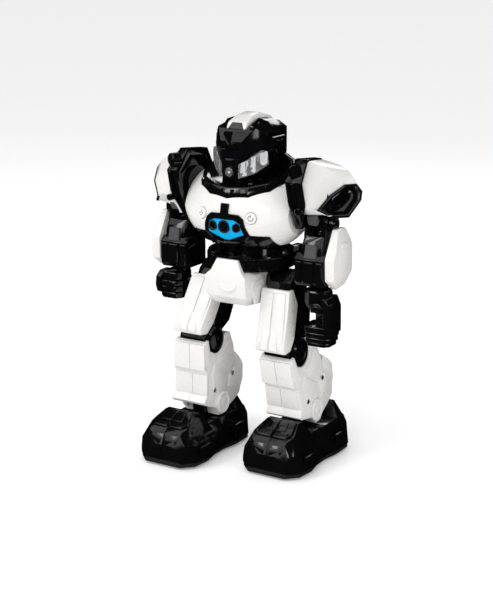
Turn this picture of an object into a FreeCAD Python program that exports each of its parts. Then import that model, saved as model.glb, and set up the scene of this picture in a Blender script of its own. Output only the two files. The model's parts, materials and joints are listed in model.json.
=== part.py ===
import FreeCAD, Part
import math
import os
import Sketcher

os.makedirs("parts", exist_ok=True)

# Toy robot, millimetres. It stands on the floor at z = 0, faces -Y and has its own left side at +X.
# The origin is on the floor under the middle of the bounding box. Leg pieces are drawn in the leg's
# own frame, with the hip axis at y = z = 0, and foot pieces with the ankle axis at y = 0.

Vector = FreeCAD.Vector
doc = FreeCAD.newDocument("ToyRobot")


# ---------------------------------------------------------------- driving dimensions

DIMENSIONS = {
    # shared
    "wall": 2.2,
    "gap": 0.4,
    "running": 0.05,
    "body_y": 12,
    # legs: the swing is measured from straight down, right leg forward and left leg back
    "hip_height": 146,
    "ankle_drop": 106.3,
    "knee_drop": 53.3,
    "knee_forward": 13.2,
    "leg_swing": 6.25,
    "hip_radius": 10,
    "hip_axle_radius": 3,
    "hip_axle_length": 88,
    "hip_inner": 18.7,
    "thigh_top_in": 19,
    "thigh_top_out": 44,
    "thigh_low_in": 22,
    "thigh_low_out": 48,
    "core_inset": 2.4,
    "shin_top_in": 21,
    "shin_top_out": 49,
    "shin_low_in": 22,
    "shin_low_out": 54,
    "shin_floor": 122,
    "knee_radius": 10.5,
    "knee_cap_depth": 2.4,
    "knee_cap_in": 23.9,
    "knee_cap_out": 46.8,
    "ankle_pin_in": 21.6,
    "ankle_pin_radius": 2.5,
    "ankle_lug_radius": 9,
    "ankle_lug_width": 11,
    "ankle_slot_depth": 16,
    "ankle_head_radius": 5.6,
    "ankle_head_depth": 1.5,
    # feet
    "foot_x": 40.5,
    "ankle_x": 38,
    "foot_half": 28,
    "foot_waist": 25.3,
    "foot_toe": 59.6,
    "foot_heel": 35.8,
    "foot_bottom": 5.4,
    "sole_bottom": 2,
    "glide_half": 14,
    "glide_front": 50,
    "glide_back": 32,
    "wheel_radius": 9,
    "wheel_slot_half": 8.8,
    "wheel_width": 5,
    "wheel_inner": 12,
    "wheel_y": 13,
    "wheel_axle_radius": 1.5,
    "motor_half": 9,
    # pelvis and waist
    "pelvis_half": 18,
    "pelvis_top": 157,
    "pelvis_split": 2,
    "pelvis_wall": 4,
    "ring_radius": 34.5,
    "ring_height": 11.5,
    "ring_wall": 3.5,
    "ring_floor": 3,
    "ring_tab_in": 31.4,
    "ring_tab_out": 36.6,
    "ring_tab_front": 16,
    "ring_tab_back": 28,
    "ring_tab_rise": 5,
    "spigot_radius": 8,
    "spigot_bottom": 152,
    "spigot_length": 11,
    "disc_depth": 8,
    "rib_step": 12,
    "rib_half": 2.5,
    "rib_front": -19.5,
    "rib_back": -8,
    "hub_radius": 27,
    # torso
    "torso_y": 6,
    "torso_bottom": 178,
    "torso_flat": 46,
    "rim_height": 229,
    "rim_tilt": 20,
    "rim_half_width": 38,
    "rim_half_depth": 34,
    "rim_flange": 3.6,
    "rim_plug": 3.6,
    "well_radius": 22.8,
    "well_wall": 1.8,
    "well_bottom": 214,
    "bezel_proud": 0.9,
    "panel_proud": 0.3,
    "lens_height": 193.4,
    "big_lens_radius": 4.2,
    "small_lens_radius": 3,
    "small_lens_x": 10,
    "big_lens_front": -30.8,
    "small_lens_front": -30.2,
    "lens_depth": 5,
    "button_x": 21.5,
    "button_y": -26.55,
    "button_z": 201.3,
    "button_turn": 16,
    "button_rise": 8.6,
    "button_radius": 4.2,
    "button_proud": 1.2,
    "button_depth": 6.5,
    "button_flange": 5.4,
    "door_half": 24,
    "door_low": 184,
    "door_high": 212,
    "screw_x": 30,
    "screw_low": 189,
    "screw_high": 207,
    "screw_radius": 1.5,
    "screw_head_radius": 2.7,
    "post_radius": 4,
    # head
    "neck_radius": 7,
    "skirt_radius": 22.2,
    "skirt_bottom": 226.5,
    "skirt_top": 244.5,
    "lamp_height": 234,
    "lamp_radius": 3.9,
    "crest_half": 8.5,
    # arms
    "shoulder_z": 218,
    "spindle_radius": 4.5,
    "spindle_flange_radius": 6,
    "spindle_in": 35.5,
    "boss_radius": 8,
    "boss_in": 38.4,
    "shoulder_hub_radius": 13,
    "pad_inner": 48,
    "frame_out": 51.9,
    "hood_in": 54,
    "scoop_x": 75,
    "scoop_y": 9,
    "scoop_z": 211.3,
    "scoop_turn": 57,
    "middle_x": 66,
    "middle_y": 7,
    "middle_z": 214,
    "middle_turn": 75,
    "arm_in": 53,
    "arm_out": 70,
    "elbow_y": 9,
    "elbow_z": 196,
    "elbow_pin_radius": 3,
    "elbow_tongue_in": 57,
    "elbow_tongue_out": 66,
    "elbow_eye_radius": 6.5,
    "elbow_disc_radius": 6,
    "cuff_in": 49,
    "cuff_out": 73,
    "cuff_bottom": 149,
    "wrist_radius": 6,
    "wrist_x": 62,
    "wrist_y": 7,
    "guard_in": 74.5,
    "guard_out": 82.5,
    "grip_radius": 5,
    "grip_x": 68,
    "grip_z": 124,
}


class Dim:
    """A length that knows its value and the spreadsheet expression that gives it."""

    def __init__(self, value, text):
        self.value = value
        self.text = text

    def joined(self, other, sign, result):
        return Dim(result, f"({self.text} {sign} {text_of(other)})")

    def __add__(self, other):
        return self.joined(other, "+", self.value + value_of(other))

    def __sub__(self, other):
        return self.joined(other, "-", self.value - value_of(other))

    def __mul__(self, other):
        return self.joined(other, "*", self.value * value_of(other))

    def __truediv__(self, other):
        return self.joined(other, "/", self.value / value_of(other))

    def __radd__(self, other):
        return Dim(other + self.value, f"({other} + {self.text})")

    def __rsub__(self, other):
        return Dim(other - self.value, f"({other} - {self.text})")

    def __rmul__(self, other):
        return Dim(other * self.value, f"({other} * {self.text})")

    def __neg__(self):
        return Dim(-self.value, f"(-1 * {self.text})")


def value_of(length):
    return length.value if isinstance(length, Dim) else length


def text_of(length):
    return length.text if isinstance(length, Dim) else str(length)


class Sizes:
    """The spreadsheet's cells, read by alias as Dim values."""

    def __init__(self, table):
        sheet = doc.addObject("Spreadsheet::Sheet", "Sheet")
        for row, (alias, number) in enumerate(table.items(), start=1):
            sheet.set(f"A{row}", alias)
            sheet.set(f"B{row}", str(number))
            sheet.setAlias(f"B{row}", alias)
            setattr(self, alias, Dim(number, f"Sheet.{alias}"))


size = Sizes(DIMENSIONS)
doc.recompute()


def sine(angle):
    return Dim(math.sin(math.radians(angle.value)), f"sin({angle.text})")


def cosine(angle):
    return Dim(math.cos(math.radians(angle.value)), f"cos({angle.text})")


# ---------------------------------------------------------------- building helpers

PLANES = {
    # sketch axes u, v and extrusion direction of each drawing plane
    "side": (Vector(0, 1, 0), Vector(0, 0, 1), Vector(1, 0, 0)),
    "front": (Vector(1, 0, 0), Vector(0, 0, 1), Vector(0, 1, 0)),
    "top": (Vector(1, 0, 0), Vector(0, 1, 0), Vector(0, 0, 1)),
}
AXIS_LETTER = {"side": "x", "front": "y", "top": "z"}
counter = {}
nodes = {}


def unique(name):
    counter[name] = counter.get(name, 0) + 1
    return f"{name}_{counter[name]}"


def bind(item, prop, length):
    """Give a property its value, and its expression where it comes from the sheet."""
    if prop.startswith("Placement."):
        item.setExpression(prop, text_of(length))
    else:
        setattr(item, prop, value_of(length))
        if isinstance(length, Dim):
            item.setExpression(prop, length.text)


def move(item, x=0, y=0, z=0):
    for letter, length in (("x", x), ("y", y), ("z", z)):
        if isinstance(length, Dim) or length:
            bind(item, f"Placement.Base.{letter}", length)
    return item


def outline(name, plane, corners):
    """A closed polygon sketch on one of the three drawing planes."""
    sketch = doc.addObject("Sketcher::SketchObject", unique(name + "_outline"))
    u_axis, v_axis, _ = PLANES[plane]
    sketch.Placement = FreeCAD.Placement(
        Vector(0, 0, 0), FreeCAD.Rotation(u_axis, v_axis, u_axis.cross(v_axis), "ZXY")
    )
    points = [Vector(value_of(u), value_of(v), 0) for u, v in corners]
    count = len(points)
    for index in range(count):
        sketch.addGeometry(Part.LineSegment(points[index], points[(index + 1) % count]), False)
    joins = [
        Sketcher.Constraint("Coincident", index, 2, (index + 1) % count, 1) for index in range(count)
    ]
    sketch.addConstraint(joins)
    for index, corner in enumerate(corners):
        for kind, length, axis in (("DistanceX", corner[0], -2), ("DistanceY", corner[1], -1)):
            if not isinstance(length, Dim) and length == 0:
                sketch.addConstraint(Sketcher.Constraint("PointOnObject", index, 1, axis))
                continue
            rule = Sketcher.Constraint(kind, -1, 1, index, 1, value_of(length))
            place = sketch.addConstraint(rule)
            if isinstance(length, Dim):
                sketch.setExpression(f"Constraints[{place}]", length.text)
    return sketch


def prism(name, plane, corners, start, length, side=1):
    """A polygon drawn on a plane and extruded from start; side -1 extrudes the other way."""
    sketch = outline(name, plane, corners)
    move(sketch, **{AXIS_LETTER[plane]: start})
    solid = doc.addObject("Part::Extrusion", unique(name))
    solid.Base = sketch
    solid.DirMode = "Custom"
    solid.Dir = PLANES[plane][2] * side
    solid.Solid = True
    bind(solid, "LengthFwd", length)
    return solid


def box(name, low, high):
    """A box between two opposite corners."""
    solid = doc.addObject("Part::Box", unique(name))
    for prop, near, far in zip(("Length", "Width", "Height"), low, high):
        bind(solid, prop, far - near)
    return move(solid, *low)


def rod(name, axis, radius, start, length, side=1):
    """A cylinder along x, y or z from a start point; side -1 points it the other way."""
    direction = {"x": Vector(1, 0, 0), "y": Vector(0, 1, 0), "z": Vector(0, 0, 1)}[axis] * side
    solid = doc.addObject("Part::Cylinder", unique(name))
    solid.Placement.Rotation = FreeCAD.Rotation(Vector(0, 0, 1), direction)
    bind(solid, "Radius", radius)
    bind(solid, "Height", length)
    return move(solid, *start)


def ellipse_loft(name, sections, tilt=None, centre=(0, 0, 0)):
    """A smooth solid through ellipses given as (height, half width, half depth)."""
    rings = []
    for height, half_width, half_depth in sections:
        ring = doc.addObject("Part::Ellipse", unique(name + "_ring"))
        bind(ring, "MajorRadius", half_width)
        bind(ring, "MinorRadius", half_depth)
        x, y, z = centre
        if tilt is None:
            move(ring, x, y, z + height)
        else:
            ring.Placement.Rotation = FreeCAD.Rotation(Vector(1, 0, 0), value_of(tilt))
            ring.setExpression("Placement.Rotation.Angle", text_of(tilt))
            move(ring, x, y - height * sine(tilt), z + height * cosine(tilt))
        rings.append(ring)
    solid = doc.addObject("Part::Loft", unique(name))
    solid.Sections = rings
    solid.Solid = True
    solid.Ruled = len(rings) == 2
    return solid


def common(name, *items):
    result = doc.addObject("Part::MultiCommon", unique(name))
    result.Shapes = list(items)
    return result


def fuse(name, *items):
    result = doc.addObject("Part::MultiFuse", unique(name))
    result.Shapes = list(items)
    return result


def cut(name, base, *tools):
    """Take each tool away from the base in turn."""
    result = base
    for tool in tools:
        remaining = doc.addObject("Part::Cut", unique(name))
        remaining.Base = result
        remaining.Tool = tool
        result = remaining
    return result


def group(name, *items):
    result = doc.addObject("Part::Compound", unique(name))
    result.Links = list(items)
    return result


def node(label, item):
    """Register a finished piece under the name of its file."""
    item.Label = label
    nodes[label] = item
    return item


def sided(side, word):
    return f"{word}_{'left' if side > 0 else 'right'}"


def both_ways(corners):
    """Mirror a half outline, given from the top down at +u, to a whole one."""
    return list(corners) + [(-u, v) for u, v in reversed(corners)]


# ---------------------------------------------------------------- pelvis and waist


def pelvis_outline():
    half = size.pelvis_half
    return both_ways([(9, 167.5), (13.5, 158), (half, 154), (half, 139), (12.5, 127)])


def pelvis():
    top = size.pelvis_top
    split = size.pelvis_split
    half = size.pelvis_half
    body_y = size.body_y
    front_side = [
        (-23.3, 167), (-26, 167), (-29.5, 151), (-27.5, 138), (-20, 130.5),
        (split, 127.5), (split, top), (-23.3, top),
    ]
    rear_side = [(split, 127.5), (16, 128.5), (27, 136), (30, 148), (29, top), (split, top)]
    depth = 2 * half
    for label, side_view in (("pelvis_front_cover", front_side), ("pelvis_rear_cover", rear_side)):
        body = common(
            label + "_body",
            prism(label, "side", side_view, -half, depth),
            prism(label, "front", pelvis_outline(), -31, 62),
        )
        cavity = box(
            "pelvis_cavity",
            (size.pelvis_wall - half, -22.5, 137),
            (half - size.pelvis_wall, 24, top - size.wall),
        )
        axle_hole = rod(
            "hip_axle_hole", "x", size.hip_axle_radius, (-half - 1, body_y, size.hip_height), depth + 2
        )
        spigot_hole = rod(
            "spigot_hole", "z", size.spigot_radius + size.gap, (0, body_y, top - 10), 20
        )
        node(label, cut(label, body, cavity, axle_hole, spigot_hole))
    half_axle = size.hip_axle_length / 2
    node("hip_axle", rod(
        "hip_axle", "x", size.hip_axle_radius, (-half_axle, body_y, size.hip_height), size.hip_axle_length
    ))


def waist_ring():
    top = size.pelvis_top
    body_y = size.body_y
    outer = rod("waist_ring_body", "z", size.ring_radius, (0, body_y, top), size.ring_height)
    tabs = [
        box(
            "ring_tab",
            (x_low, size.ring_tab_front, top + 1),
            (x_high, size.ring_tab_back, top + size.ring_height + size.ring_tab_rise),
        )
        for x_low, x_high in (
            (size.ring_tab_in, size.ring_tab_out), (-size.ring_tab_out, -size.ring_tab_in),
        )
    ]
    hollow = rod(
        "ring_hollow", "z", size.ring_radius - size.ring_wall,
        (0, body_y, top + size.ring_floor), size.ring_height + 10,
    )
    bore = rod("ring_bore", "z", size.spigot_radius + size.running, (0, body_y, top - 1), 10)
    whole = fuse("waist_ring_whole", outer, *tabs)
    node("waist_ring", cut("waist_ring", whole, hollow, bore))


def waist_turntable():
    body_y = size.body_y
    floor_top = size.pelvis_top + size.ring_floor + size.gap
    inner = size.ring_radius - size.ring_wall - 2 * size.gap
    disc = rod("turntable_disc", "z", inner, (0, body_y, floor_top), size.disc_depth)
    hub = rod("turntable_hub", "z", size.hub_radius, (0, body_y, floor_top), size.torso_bottom - floor_top)
    spigot = rod(
        "turntable_spigot", "z", size.spigot_radius, (0, body_y, size.spigot_bottom), size.spigot_length
    )
    over_ring = size.pelvis_top + size.ring_height + 2 * size.gap
    ribs = [
        box(
            "turntable_rib",
            (step * size.rib_step - size.rib_half, size.rib_front, over_ring),
            (step * size.rib_step + size.rib_half, size.rib_back, size.torso_bottom),
        )
        for step in (-1, 0, 1)
    ]
    node("waist_turntable", fuse("waist_turntable", disc, hub, spigot, *ribs))


# ---------------------------------------------------------------- torso

TORSO_SECTIONS = [
    # height above the torso's bottom, half width, half depth
    (0, 37, 27.5), (8, 46, 33), (20, 52.5, 37.3), (34, 53.5, 38), (48, 52, 38), (60, 50, 38), (72, 49, 38),
]


CAP_SECTIONS = [
    # height above the tilted neck opening, half width, half depth
    (-62, 74, 62), (-38, 68, 56), (-20, 60, 48), (-10, 53, 43), (-4, 46, 39), (0, 38.5, 34.5),
]


def neck_centre():
    return (0, size.torso_y + 2, size.rim_height)


def torso_solid(name, grow):
    """The barrel of the torso under its tilted shoulder cap, with two flat sides."""
    sections = [
        (height, half_width + grow, half_depth + grow) for height, half_width, half_depth in TORSO_SECTIONS
    ]
    barrel = ellipse_loft(name, sections, centre=(0, size.torso_y, size.torso_bottom))
    cap_sections = [
        (height + grow, half_width + grow, half_depth + grow)
        for height, half_width, half_depth in CAP_SECTIONS
    ]
    cap = ellipse_loft(name + "_cap", cap_sections, tilt=size.rim_tilt, centre=neck_centre())
    flat = size.torso_flat + grow
    slab = box(name + "_slab", (-flat, -60, 170), (flat, 70, 260))
    return common(name, barrel, cap, slab)


def neck_plug(name, grow, low, high):
    """The tilted oval that fills the neck opening, grown by grow, between two heights."""
    half_width = size.rim_half_width - size.rim_plug + grow
    half_depth = size.rim_half_depth - size.rim_plug + grow
    return ellipse_loft(
        name, [(low, half_width, half_depth), (high, half_width, half_depth)],
        tilt=size.rim_tilt, centre=neck_centre(),
    )


BEZEL_HALF = [(3.4, 211), (3.4, 203.6), (12, 203.2), (15.8, 200.2), (19.8, 187.5), (12, 181), (5, 178.2)]
PANEL_HALF = [(8.5, 199.2), (13.7, 196.5), (15.6, 187.8), (2, 182.3)]


def badge_block(name, half_outline, grow_depth=0):
    """A block through the chest front with the outline of the badge or its panel."""
    return prism(name, "front", both_ways(half_outline), -45, 40 + grow_depth)


def button_cylinder(name, side, radius, inside, length):
    """A cylinder square to the chest at a button, starting inside the shell and pointing out."""
    across = sine(size.button_turn) * cosine(size.button_rise)
    forward = cosine(size.button_turn) * cosine(size.button_rise)
    upward = sine(size.button_rise)
    outward = Vector(side * across.value, -forward.value, upward.value)
    solid = doc.addObject("Part::Cylinder", unique(name))
    bind(solid, "Radius", radius)
    bind(solid, "Height", length)
    solid.Placement.Rotation = FreeCAD.Rotation(Vector(0, 0, 1), outward)
    return move(
        solid,
        side * (size.button_x - inside * across),
        size.button_y + inside * forward,
        size.button_z - inside * upward,
    )


def screw_posts(name, start, length):
    return [
        rod(name, "y", size.post_radius, (side * size.screw_x, start, height), length)
        for side in (-1, 1) for height in (size.screw_low, size.screw_high)
    ]


def screw_holes(name, radius, start, length):
    return [
        rod(name, "y", radius, (side * size.screw_x, start, height), length)
        for side in (-1, 1) for height in (size.screw_low, size.screw_high)
    ]


def torso_shells():
    outer = torso_solid("torso_outer", 0)
    inner = torso_solid("torso_inner", -size.wall)
    floor = box("torso_floor", (-60, -60, 170), (60, 70, size.torso_bottom + size.wall))
    bosses = [
        rod("boss", "x", size.boss_radius, (side * size.boss_in, size.torso_y, size.shoulder_z), 30, side)
        for side in (-1, 1)
    ]
    cavity = cut("torso_hollow", inner, floor, *screw_posts("post", -40, 90), *bosses)
    shell = cut("torso_shell", outer, cavity)
    halves = (
        ("chest_shell", -60, size.torso_y),
        ("back_shell", size.torso_y, 70),
    )
    for label, low, high in halves:
        half = common(label + "_half", shell, box(label + "_region", (-60, low, 170), (60, high, 260)))
        tools = [
            neck_plug(label + "_neck_hole", 0.3, -14, 8),
            rod("shoulder_hole", "x", size.spindle_radius + size.running,
                (-60, size.torso_y, size.shoulder_z), 120),
            *screw_holes("screw_hole", size.screw_radius, -20, 70),
        ]
        if label == "chest_shell":
            tools.append(badge_block("badge_hole", BEZEL_HALF))
            for side in (-1, 1):
                tools.append(button_cylinder("button_hole", side, size.button_radius + size.gap, 12, 20))
        else:
            tools += screw_holes("screw_recess", size.screw_head_radius + 0.3, size.torso_y + 24, 40)
            tools.append(box(
                "door_hole",
                (-size.door_half, size.torso_y, size.door_low),
                (size.door_half, 60, size.door_high),
            ))
        node(label, cut(label, half, *tools))
    node("battery_door", common(
        "battery_door", shell,
        box("door_block", (0.2 - size.door_half, size.torso_y + 1, size.door_low + 0.2),
            (size.door_half - 0.2, 60, size.door_high - 0.2)),
    ))
    screws = [
        fuse(
            "screw",
            rod("screw_shank", "y", size.screw_radius, (x, -12, height), size.torso_y + 24 - (-12)),
            rod("screw_head", "y", size.screw_head_radius, (x, size.torso_y + 24, height), 2),
        )
        for x in (-size.screw_x, size.screw_x) for height in (size.screw_low, size.screw_high)
    ]
    node("torso_screws", group("torso_screws", *screws))


def badge():
    inner = torso_solid("badge_inner", -size.wall)
    proud = torso_solid("badge_proud", size.bezel_proud)
    skin = cut("badge_skin", proud, inner)
    lens_set = [(0, size.big_lens_radius, size.big_lens_front)]
    for x in (-size.small_lens_x, size.small_lens_x):
        lens_set.append((x, size.small_lens_radius, size.small_lens_front))
    window = badge_block("panel_window", PANEL_HALF)
    plate = common("bezel_plate", skin, badge_block("bezel", BEZEL_HALF))
    node("sensor_bezel", cut("sensor_bezel", plate, window))
    holes = [
        rod("lens_hole", "y", radius, (x, -45, size.lens_height), 40) for x, radius, _ in lens_set
    ]
    panel_skin = cut("panel_skin", torso_solid("panel_proud", size.panel_proud), inner)
    node("sensor_panel", cut(
        "sensor_panel", common("panel_plate", panel_skin, badge_block("panel", PANEL_HALF)), *holes
    ))
    lenses = [
        rod("lens", "y", radius, (x, front, size.lens_height), size.lens_depth)
        for x, radius, front in lens_set
    ]
    node("sensor_lenses", group("sensor_lenses", *lenses))


def buttons():
    for side, label in ((1, "power_button"), (-1, "mode_button")):
        depth = size.button_depth
        cap = button_cylinder(label + "_cap", side, size.button_radius, depth, depth + size.button_proud)
        flange = button_cylinder(label + "_flange", side, size.button_flange, depth, 1)
        node(label, fuse(label, cap, flange))


def neck_collar():
    flange = ellipse_loft(
        "collar_flange",
        [(0.2, size.rim_half_width, size.rim_half_depth),
         (size.rim_flange, size.rim_half_width - 4.5, size.rim_half_depth - 4.5)],
        tilt=size.rim_tilt, centre=neck_centre(),
    )
    plug = neck_plug("collar_plug", 0, -4, 1)
    cup = rod("collar_cup", "z", size.well_radius + size.well_wall, (0, size.body_y, size.well_bottom), 40)
    cup_low = common("collar_cup_low", cup, torso_solid("cup_room", -0.1 - size.wall))
    well = rod("collar_well", "z", size.well_radius, (0, size.body_y, size.well_bottom + 3), 60)
    bore = rod("neck_bore", "z", size.neck_radius + size.running, (0, size.body_y, size.well_bottom - 1), 10)
    node("neck_collar", cut("neck_collar", fuse("collar_whole", flange, plug, cup_low), well, bore))


def torso_contents():
    node("battery_pack", box("battery_pack", (-21, 19, 185), (21, 32.4, 208)))
    node("main_board", box("main_board", (-24, 8, 183), (24, 9.6, 207.5)))
    node("speaker", rod("speaker", "y", 11, (0, -8, 197), 6))


# ---------------------------------------------------------------- head

HELMET_SIDE = [
    (-19.2, 251), (-19.8, 257), (-13, 265.5), (0, 270.5), (14, 272.5), (28, 268.5), (36, 258),
    (36, 244.5), (-12, 244.5),
]
HELMET_SKIRT_SIDE = [(-6, 247), (36, 247), (35, 238), (26, 226.5), (2, 226.5), (-5, 234)]
HELMET_FRONT_HALF = [(5, 273), (13, 270), (21.5, 262), (24.4, 252), (24.4, 240), (20, 226)]
HELMET_TOP_HALF = [(9, -20), (19, -8), (24.6, 2), (24.6, 22), (17, 36.2)]
CREST_SIDE = [
    (-13.2, 265), (-10.4, 270), (0, 274.6), (12, 276), (27, 272), (37.5, 260.5), (38, 250),
    (35, 250), (35, 258), (27, 267), (14, 271), (0, 269), (-10, 264.4),
]


def head():
    body_y = size.body_y
    front_view = prism("helmet_front", "front", both_ways(HELMET_FRONT_HALF), -30, 75)
    top_view = prism("helmet_top", "top", both_ways(HELMET_TOP_HALF), 220, 60)
    upper = common("helmet_upper", prism("helmet_side", "side", HELMET_SIDE, -30, 60), front_view, top_view)
    skirt_height = size.skirt_top - size.skirt_bottom + 1
    skirt = common(
        "helmet_skirt",
        prism("helmet_skirt_side", "side", HELMET_SKIRT_SIDE, -30, 60),
        rod("helmet_skirt_round", "z", size.skirt_radius, (0, body_y, size.skirt_bottom), skirt_height),
    )
    crest = common(
        "crest_body",
        prism("crest_side", "side", CREST_SIDE, -size.crest_half, 2 * size.crest_half),
        prism("crest_front", "front", both_ways([(6, 277), (size.crest_half, 271), (size.crest_half, 240)]),
              -30, 75),
    )
    hollow = box("helmet_hollow", (-17, 0, 220), (17, 28, 262))
    node("helmet_crest", crest)
    node("helmet_shell", cut("helmet_shell", fuse("helmet_body", upper, skirt), crest, hollow))
    mask_side = [(-21.5, 244), (-21.5, 232), (-18, 227.5), (-8.2, 227.5), (-8.2, 244.3), (-19, 244.3)]
    mask_top = both_ways([(6.5, -21.6), (18.5, -10), (18.5, -8)])
    mask_front = both_ways([(19, 245), (19, 239), (8, 231), (5, 228.3)])
    mask = common(
        "mask_body",
        prism("mask_side", "side", mask_side, -20, 40),
        prism("mask_top", "top", mask_top, 225, 25),
        prism("mask_front", "front", mask_front, -30, 30),
    )
    lamp_hole = rod("lamp_hole", "y", size.lamp_radius, (0, -30, size.lamp_height), 12)
    skirt_room = rod("skirt_room", "z", size.skirt_radius, (0, body_y, 220), 40)
    node("face_mask", cut("face_mask", mask, lamp_hole, skirt_room))
    node("nose_lamp", rod("nose_lamp", "y", size.lamp_radius, (0, -23.4, size.lamp_height), 5.4))
    lenses = [
        common(
            "cheek_lens",
            prism("cheek_lens_top", "top", [
                (side * 7, -21.8), (side * 20, -9.2), (side * 20.8, -10), (side * 8, -22.4),
            ], 225, 25),
            prism("cheek_lens_front", "front", [
                (side * 7, 240), (side * 21, 245.5), (side * 21, 236), (side * 14, 232), (side * 7, 229.5),
            ], -30, 30),
        )
        for side in (-1, 1)
    ]
    node("cheek_lenses", group("cheek_lenses", *lenses))
    post = rod("neck_post_stem", "z", size.neck_radius, (0, body_y, 209), 20)
    stop = rod("neck_post_stop", "z", size.neck_radius + 2.5, (0, body_y, 209), 4.5)
    plate = rod("neck_post_plate", "z", 19, (0, body_y, size.well_bottom + 5), 7.4)
    node("neck_post", fuse("neck_post", post, stop, plate))


# ---------------------------------------------------------------- arms

PAD_OUTLINE = [(-17, 213), (-22.5, 231), (-5, 246), (23, 243), (31, 230), (30, 208), (19, 195), (-5, 192.5)]
PAD_MIDDLE = [(-23, -4.4), (-20.5, 14), (-3, 26.5), (18, 24.5), (25, 14), (24.5, -2.5), (12.5, -17.5),
              (-8.5, -18)]
PAD_RIM = 0.8
SCOOP_OUTLINE = [(-20, -3), (-8.5, 12), (6, 20.5), (15, 19.5), (20, 13.5), (20, 6), (9, -9), (-5, -8)]


def scaled(corners, factor, centre):
    return [
        (centre[0] + (u - centre[0]) * factor, centre[1] + (v - centre[1]) * factor) for u, v in corners
    ]


def shoulder_core():
    """The spindle, hub, upper arm and elbow tongue of the left arm, in one piece."""
    spindle_at = (size.spindle_in, size.torso_y, size.shoulder_z)
    flange_depth = size.boss_in - size.spindle_in - size.gap
    flange = rod("spindle_flange", "x", size.spindle_flange_radius, spindle_at, flange_depth)
    spindle = rod("spindle", "x", size.spindle_radius, spindle_at, 12)
    hub = rod("shoulder_hub", "x", size.shoulder_hub_radius, (46.5, size.torso_y, size.shoulder_z), 11.5)
    block = prism(
        "upper_arm", "side", [(-5, 222), (18, 222), (18, 207), (16, 203), (-1, 203), (-5, 207)],
        size.arm_in, size.arm_out - size.arm_in,
    )
    tongue_width = size.elbow_tongue_out - size.elbow_tongue_in
    tongue = prism(
        "elbow_tongue", "side", [(2.5, 208), (15.5, 208), (15.5, 196), (2.5, 196)],
        size.elbow_tongue_in, tongue_width,
    )
    eye = rod("elbow_tongue_eye", "x", size.elbow_eye_radius,
              (size.elbow_tongue_in, size.elbow_y, size.elbow_z), tongue_width)
    pin_room = rod("elbow_eye_hole", "x", size.elbow_pin_radius + size.running,
                   (size.arm_in - 3, size.elbow_y, size.elbow_z), 30)
    mouth = scoop_prism("scoop_mouth", SCOOP_OUTLINE, -0.4, 12)
    whole = fuse("shoulder_core_whole", flange, spindle, hub, block, tongue, eye)
    return cut("shoulder_core", whole, pin_room, mouth)


def shoulder_frame():
    """The pad's upright frame: a rim with a thin web round the hub, open above the arm."""
    centre = (size.torso_y.value, size.shoulder_z.value)
    depth = size.hood_in - size.pad_inner
    band = prism("pad_band", "side", PAD_OUTLINE, size.pad_inner, depth)
    inside = scaled(PAD_OUTLINE, PAD_RIM, centre)
    hollow = prism("pad_band_hole", "side", inside, size.pad_inner - 1, depth - 1)
    hub_hole = rod("pad_hub_hole", "x", size.shoulder_hub_radius, (40, size.torso_y, size.shoulder_z), 30)
    arm_hole = prism(
        "pad_arm_hole", "side", [(-12, 180), (20, 180), (20, 222.5), (-12, 222.5)], size.frame_out, 20
    )
    return cut("shoulder_frame", band, hollow, hub_hole, arm_hole)


def shoulder_shell():
    """The white hood over the pad, open below for the arm and outwards at the scoop."""
    hood = hood_loft("pad_hood", (PAD_OUTLINE, PAD_MIDDLE, SCOOP_OUTLINE), size.hood_in, 0)
    thinned = (
        scaled(PAD_OUTLINE, 0.9, (4, 218)),
        scaled(PAD_MIDDLE, 0.88, (1, 4)),
        scaled(SCOOP_OUTLINE, 0.85, (1, 5)),
    )
    inside = hood_loft("pad_hood_inner", thinned, size.hood_in - 2, 3)
    arm_room = box("pad_arm_room", (50, -12, 170), (75.5, 21, 207))
    return cut("shoulder_shell", hood, inside, arm_room)


def shoulder_flare():
    """The black band round the scoop's mouth."""
    return cut(
        "scoop_band",
        scoop_prism("scoop_outer", SCOOP_OUTLINE, 0.1, 6.5),
        scoop_prism("scoop_inner", scaled(SCOOP_OUTLINE, 0.85, (1, 5)), -2, 12),
    )


def shoulders():
    """The left arm's pieces, and the same pieces mirrored for the right arm."""
    for build in (shoulder_core, shoulder_frame, shoulder_shell, shoulder_flare):
        word = build.__name__
        left = build()
        node(sided(1, word), left)
        node(sided(-1, word), mirror(word, left))


def mirror(name, item):
    """The same piece for the robot's other side."""
    copy = doc.addObject("Part::Mirroring", unique(name + "_mirror"))
    copy.Source = item
    copy.Normal = Vector(1, 0, 0)
    return copy


def slanted_sketch(name, corners, turn, centre):
    """A polygon on an upright plane turned about z, for the left pad."""
    sketch = outline(name, "front", corners)
    rotation = FreeCAD.Rotation(Vector(0, 0, 1), value_of(turn))
    sketch.Placement.Rotation = rotation.multiply(sketch.Placement.Rotation)
    return move(sketch, *centre)


def scoop_sketch(name, corners, outwards):
    """A polygon on the slanted plane of the left pad's scoop, shifted along its normal."""
    centre = (
        size.scoop_x + outwards * sine(size.scoop_turn),
        size.scoop_y - outwards * cosine(size.scoop_turn),
        size.scoop_z,
    )
    return slanted_sketch(name, corners, size.scoop_turn, centre)


def hood_loft(name, outlines, start, outwards):
    """The hood from the pad's upright frame, over a bulging middle, to its slanted scoop."""
    root, middle, mouth = outlines
    hood = doc.addObject("Part::Loft", unique(name))
    hood.Sections = [
        slanted_sketch(name, root, 90, (start, 0, 0)),
        slanted_sketch(name, middle, size.middle_turn, (size.middle_x, size.middle_y, size.middle_z)),
        scoop_sketch(name, mouth, outwards),
    ]
    hood.Solid = True
    hood.Ruled = True
    return hood


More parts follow.
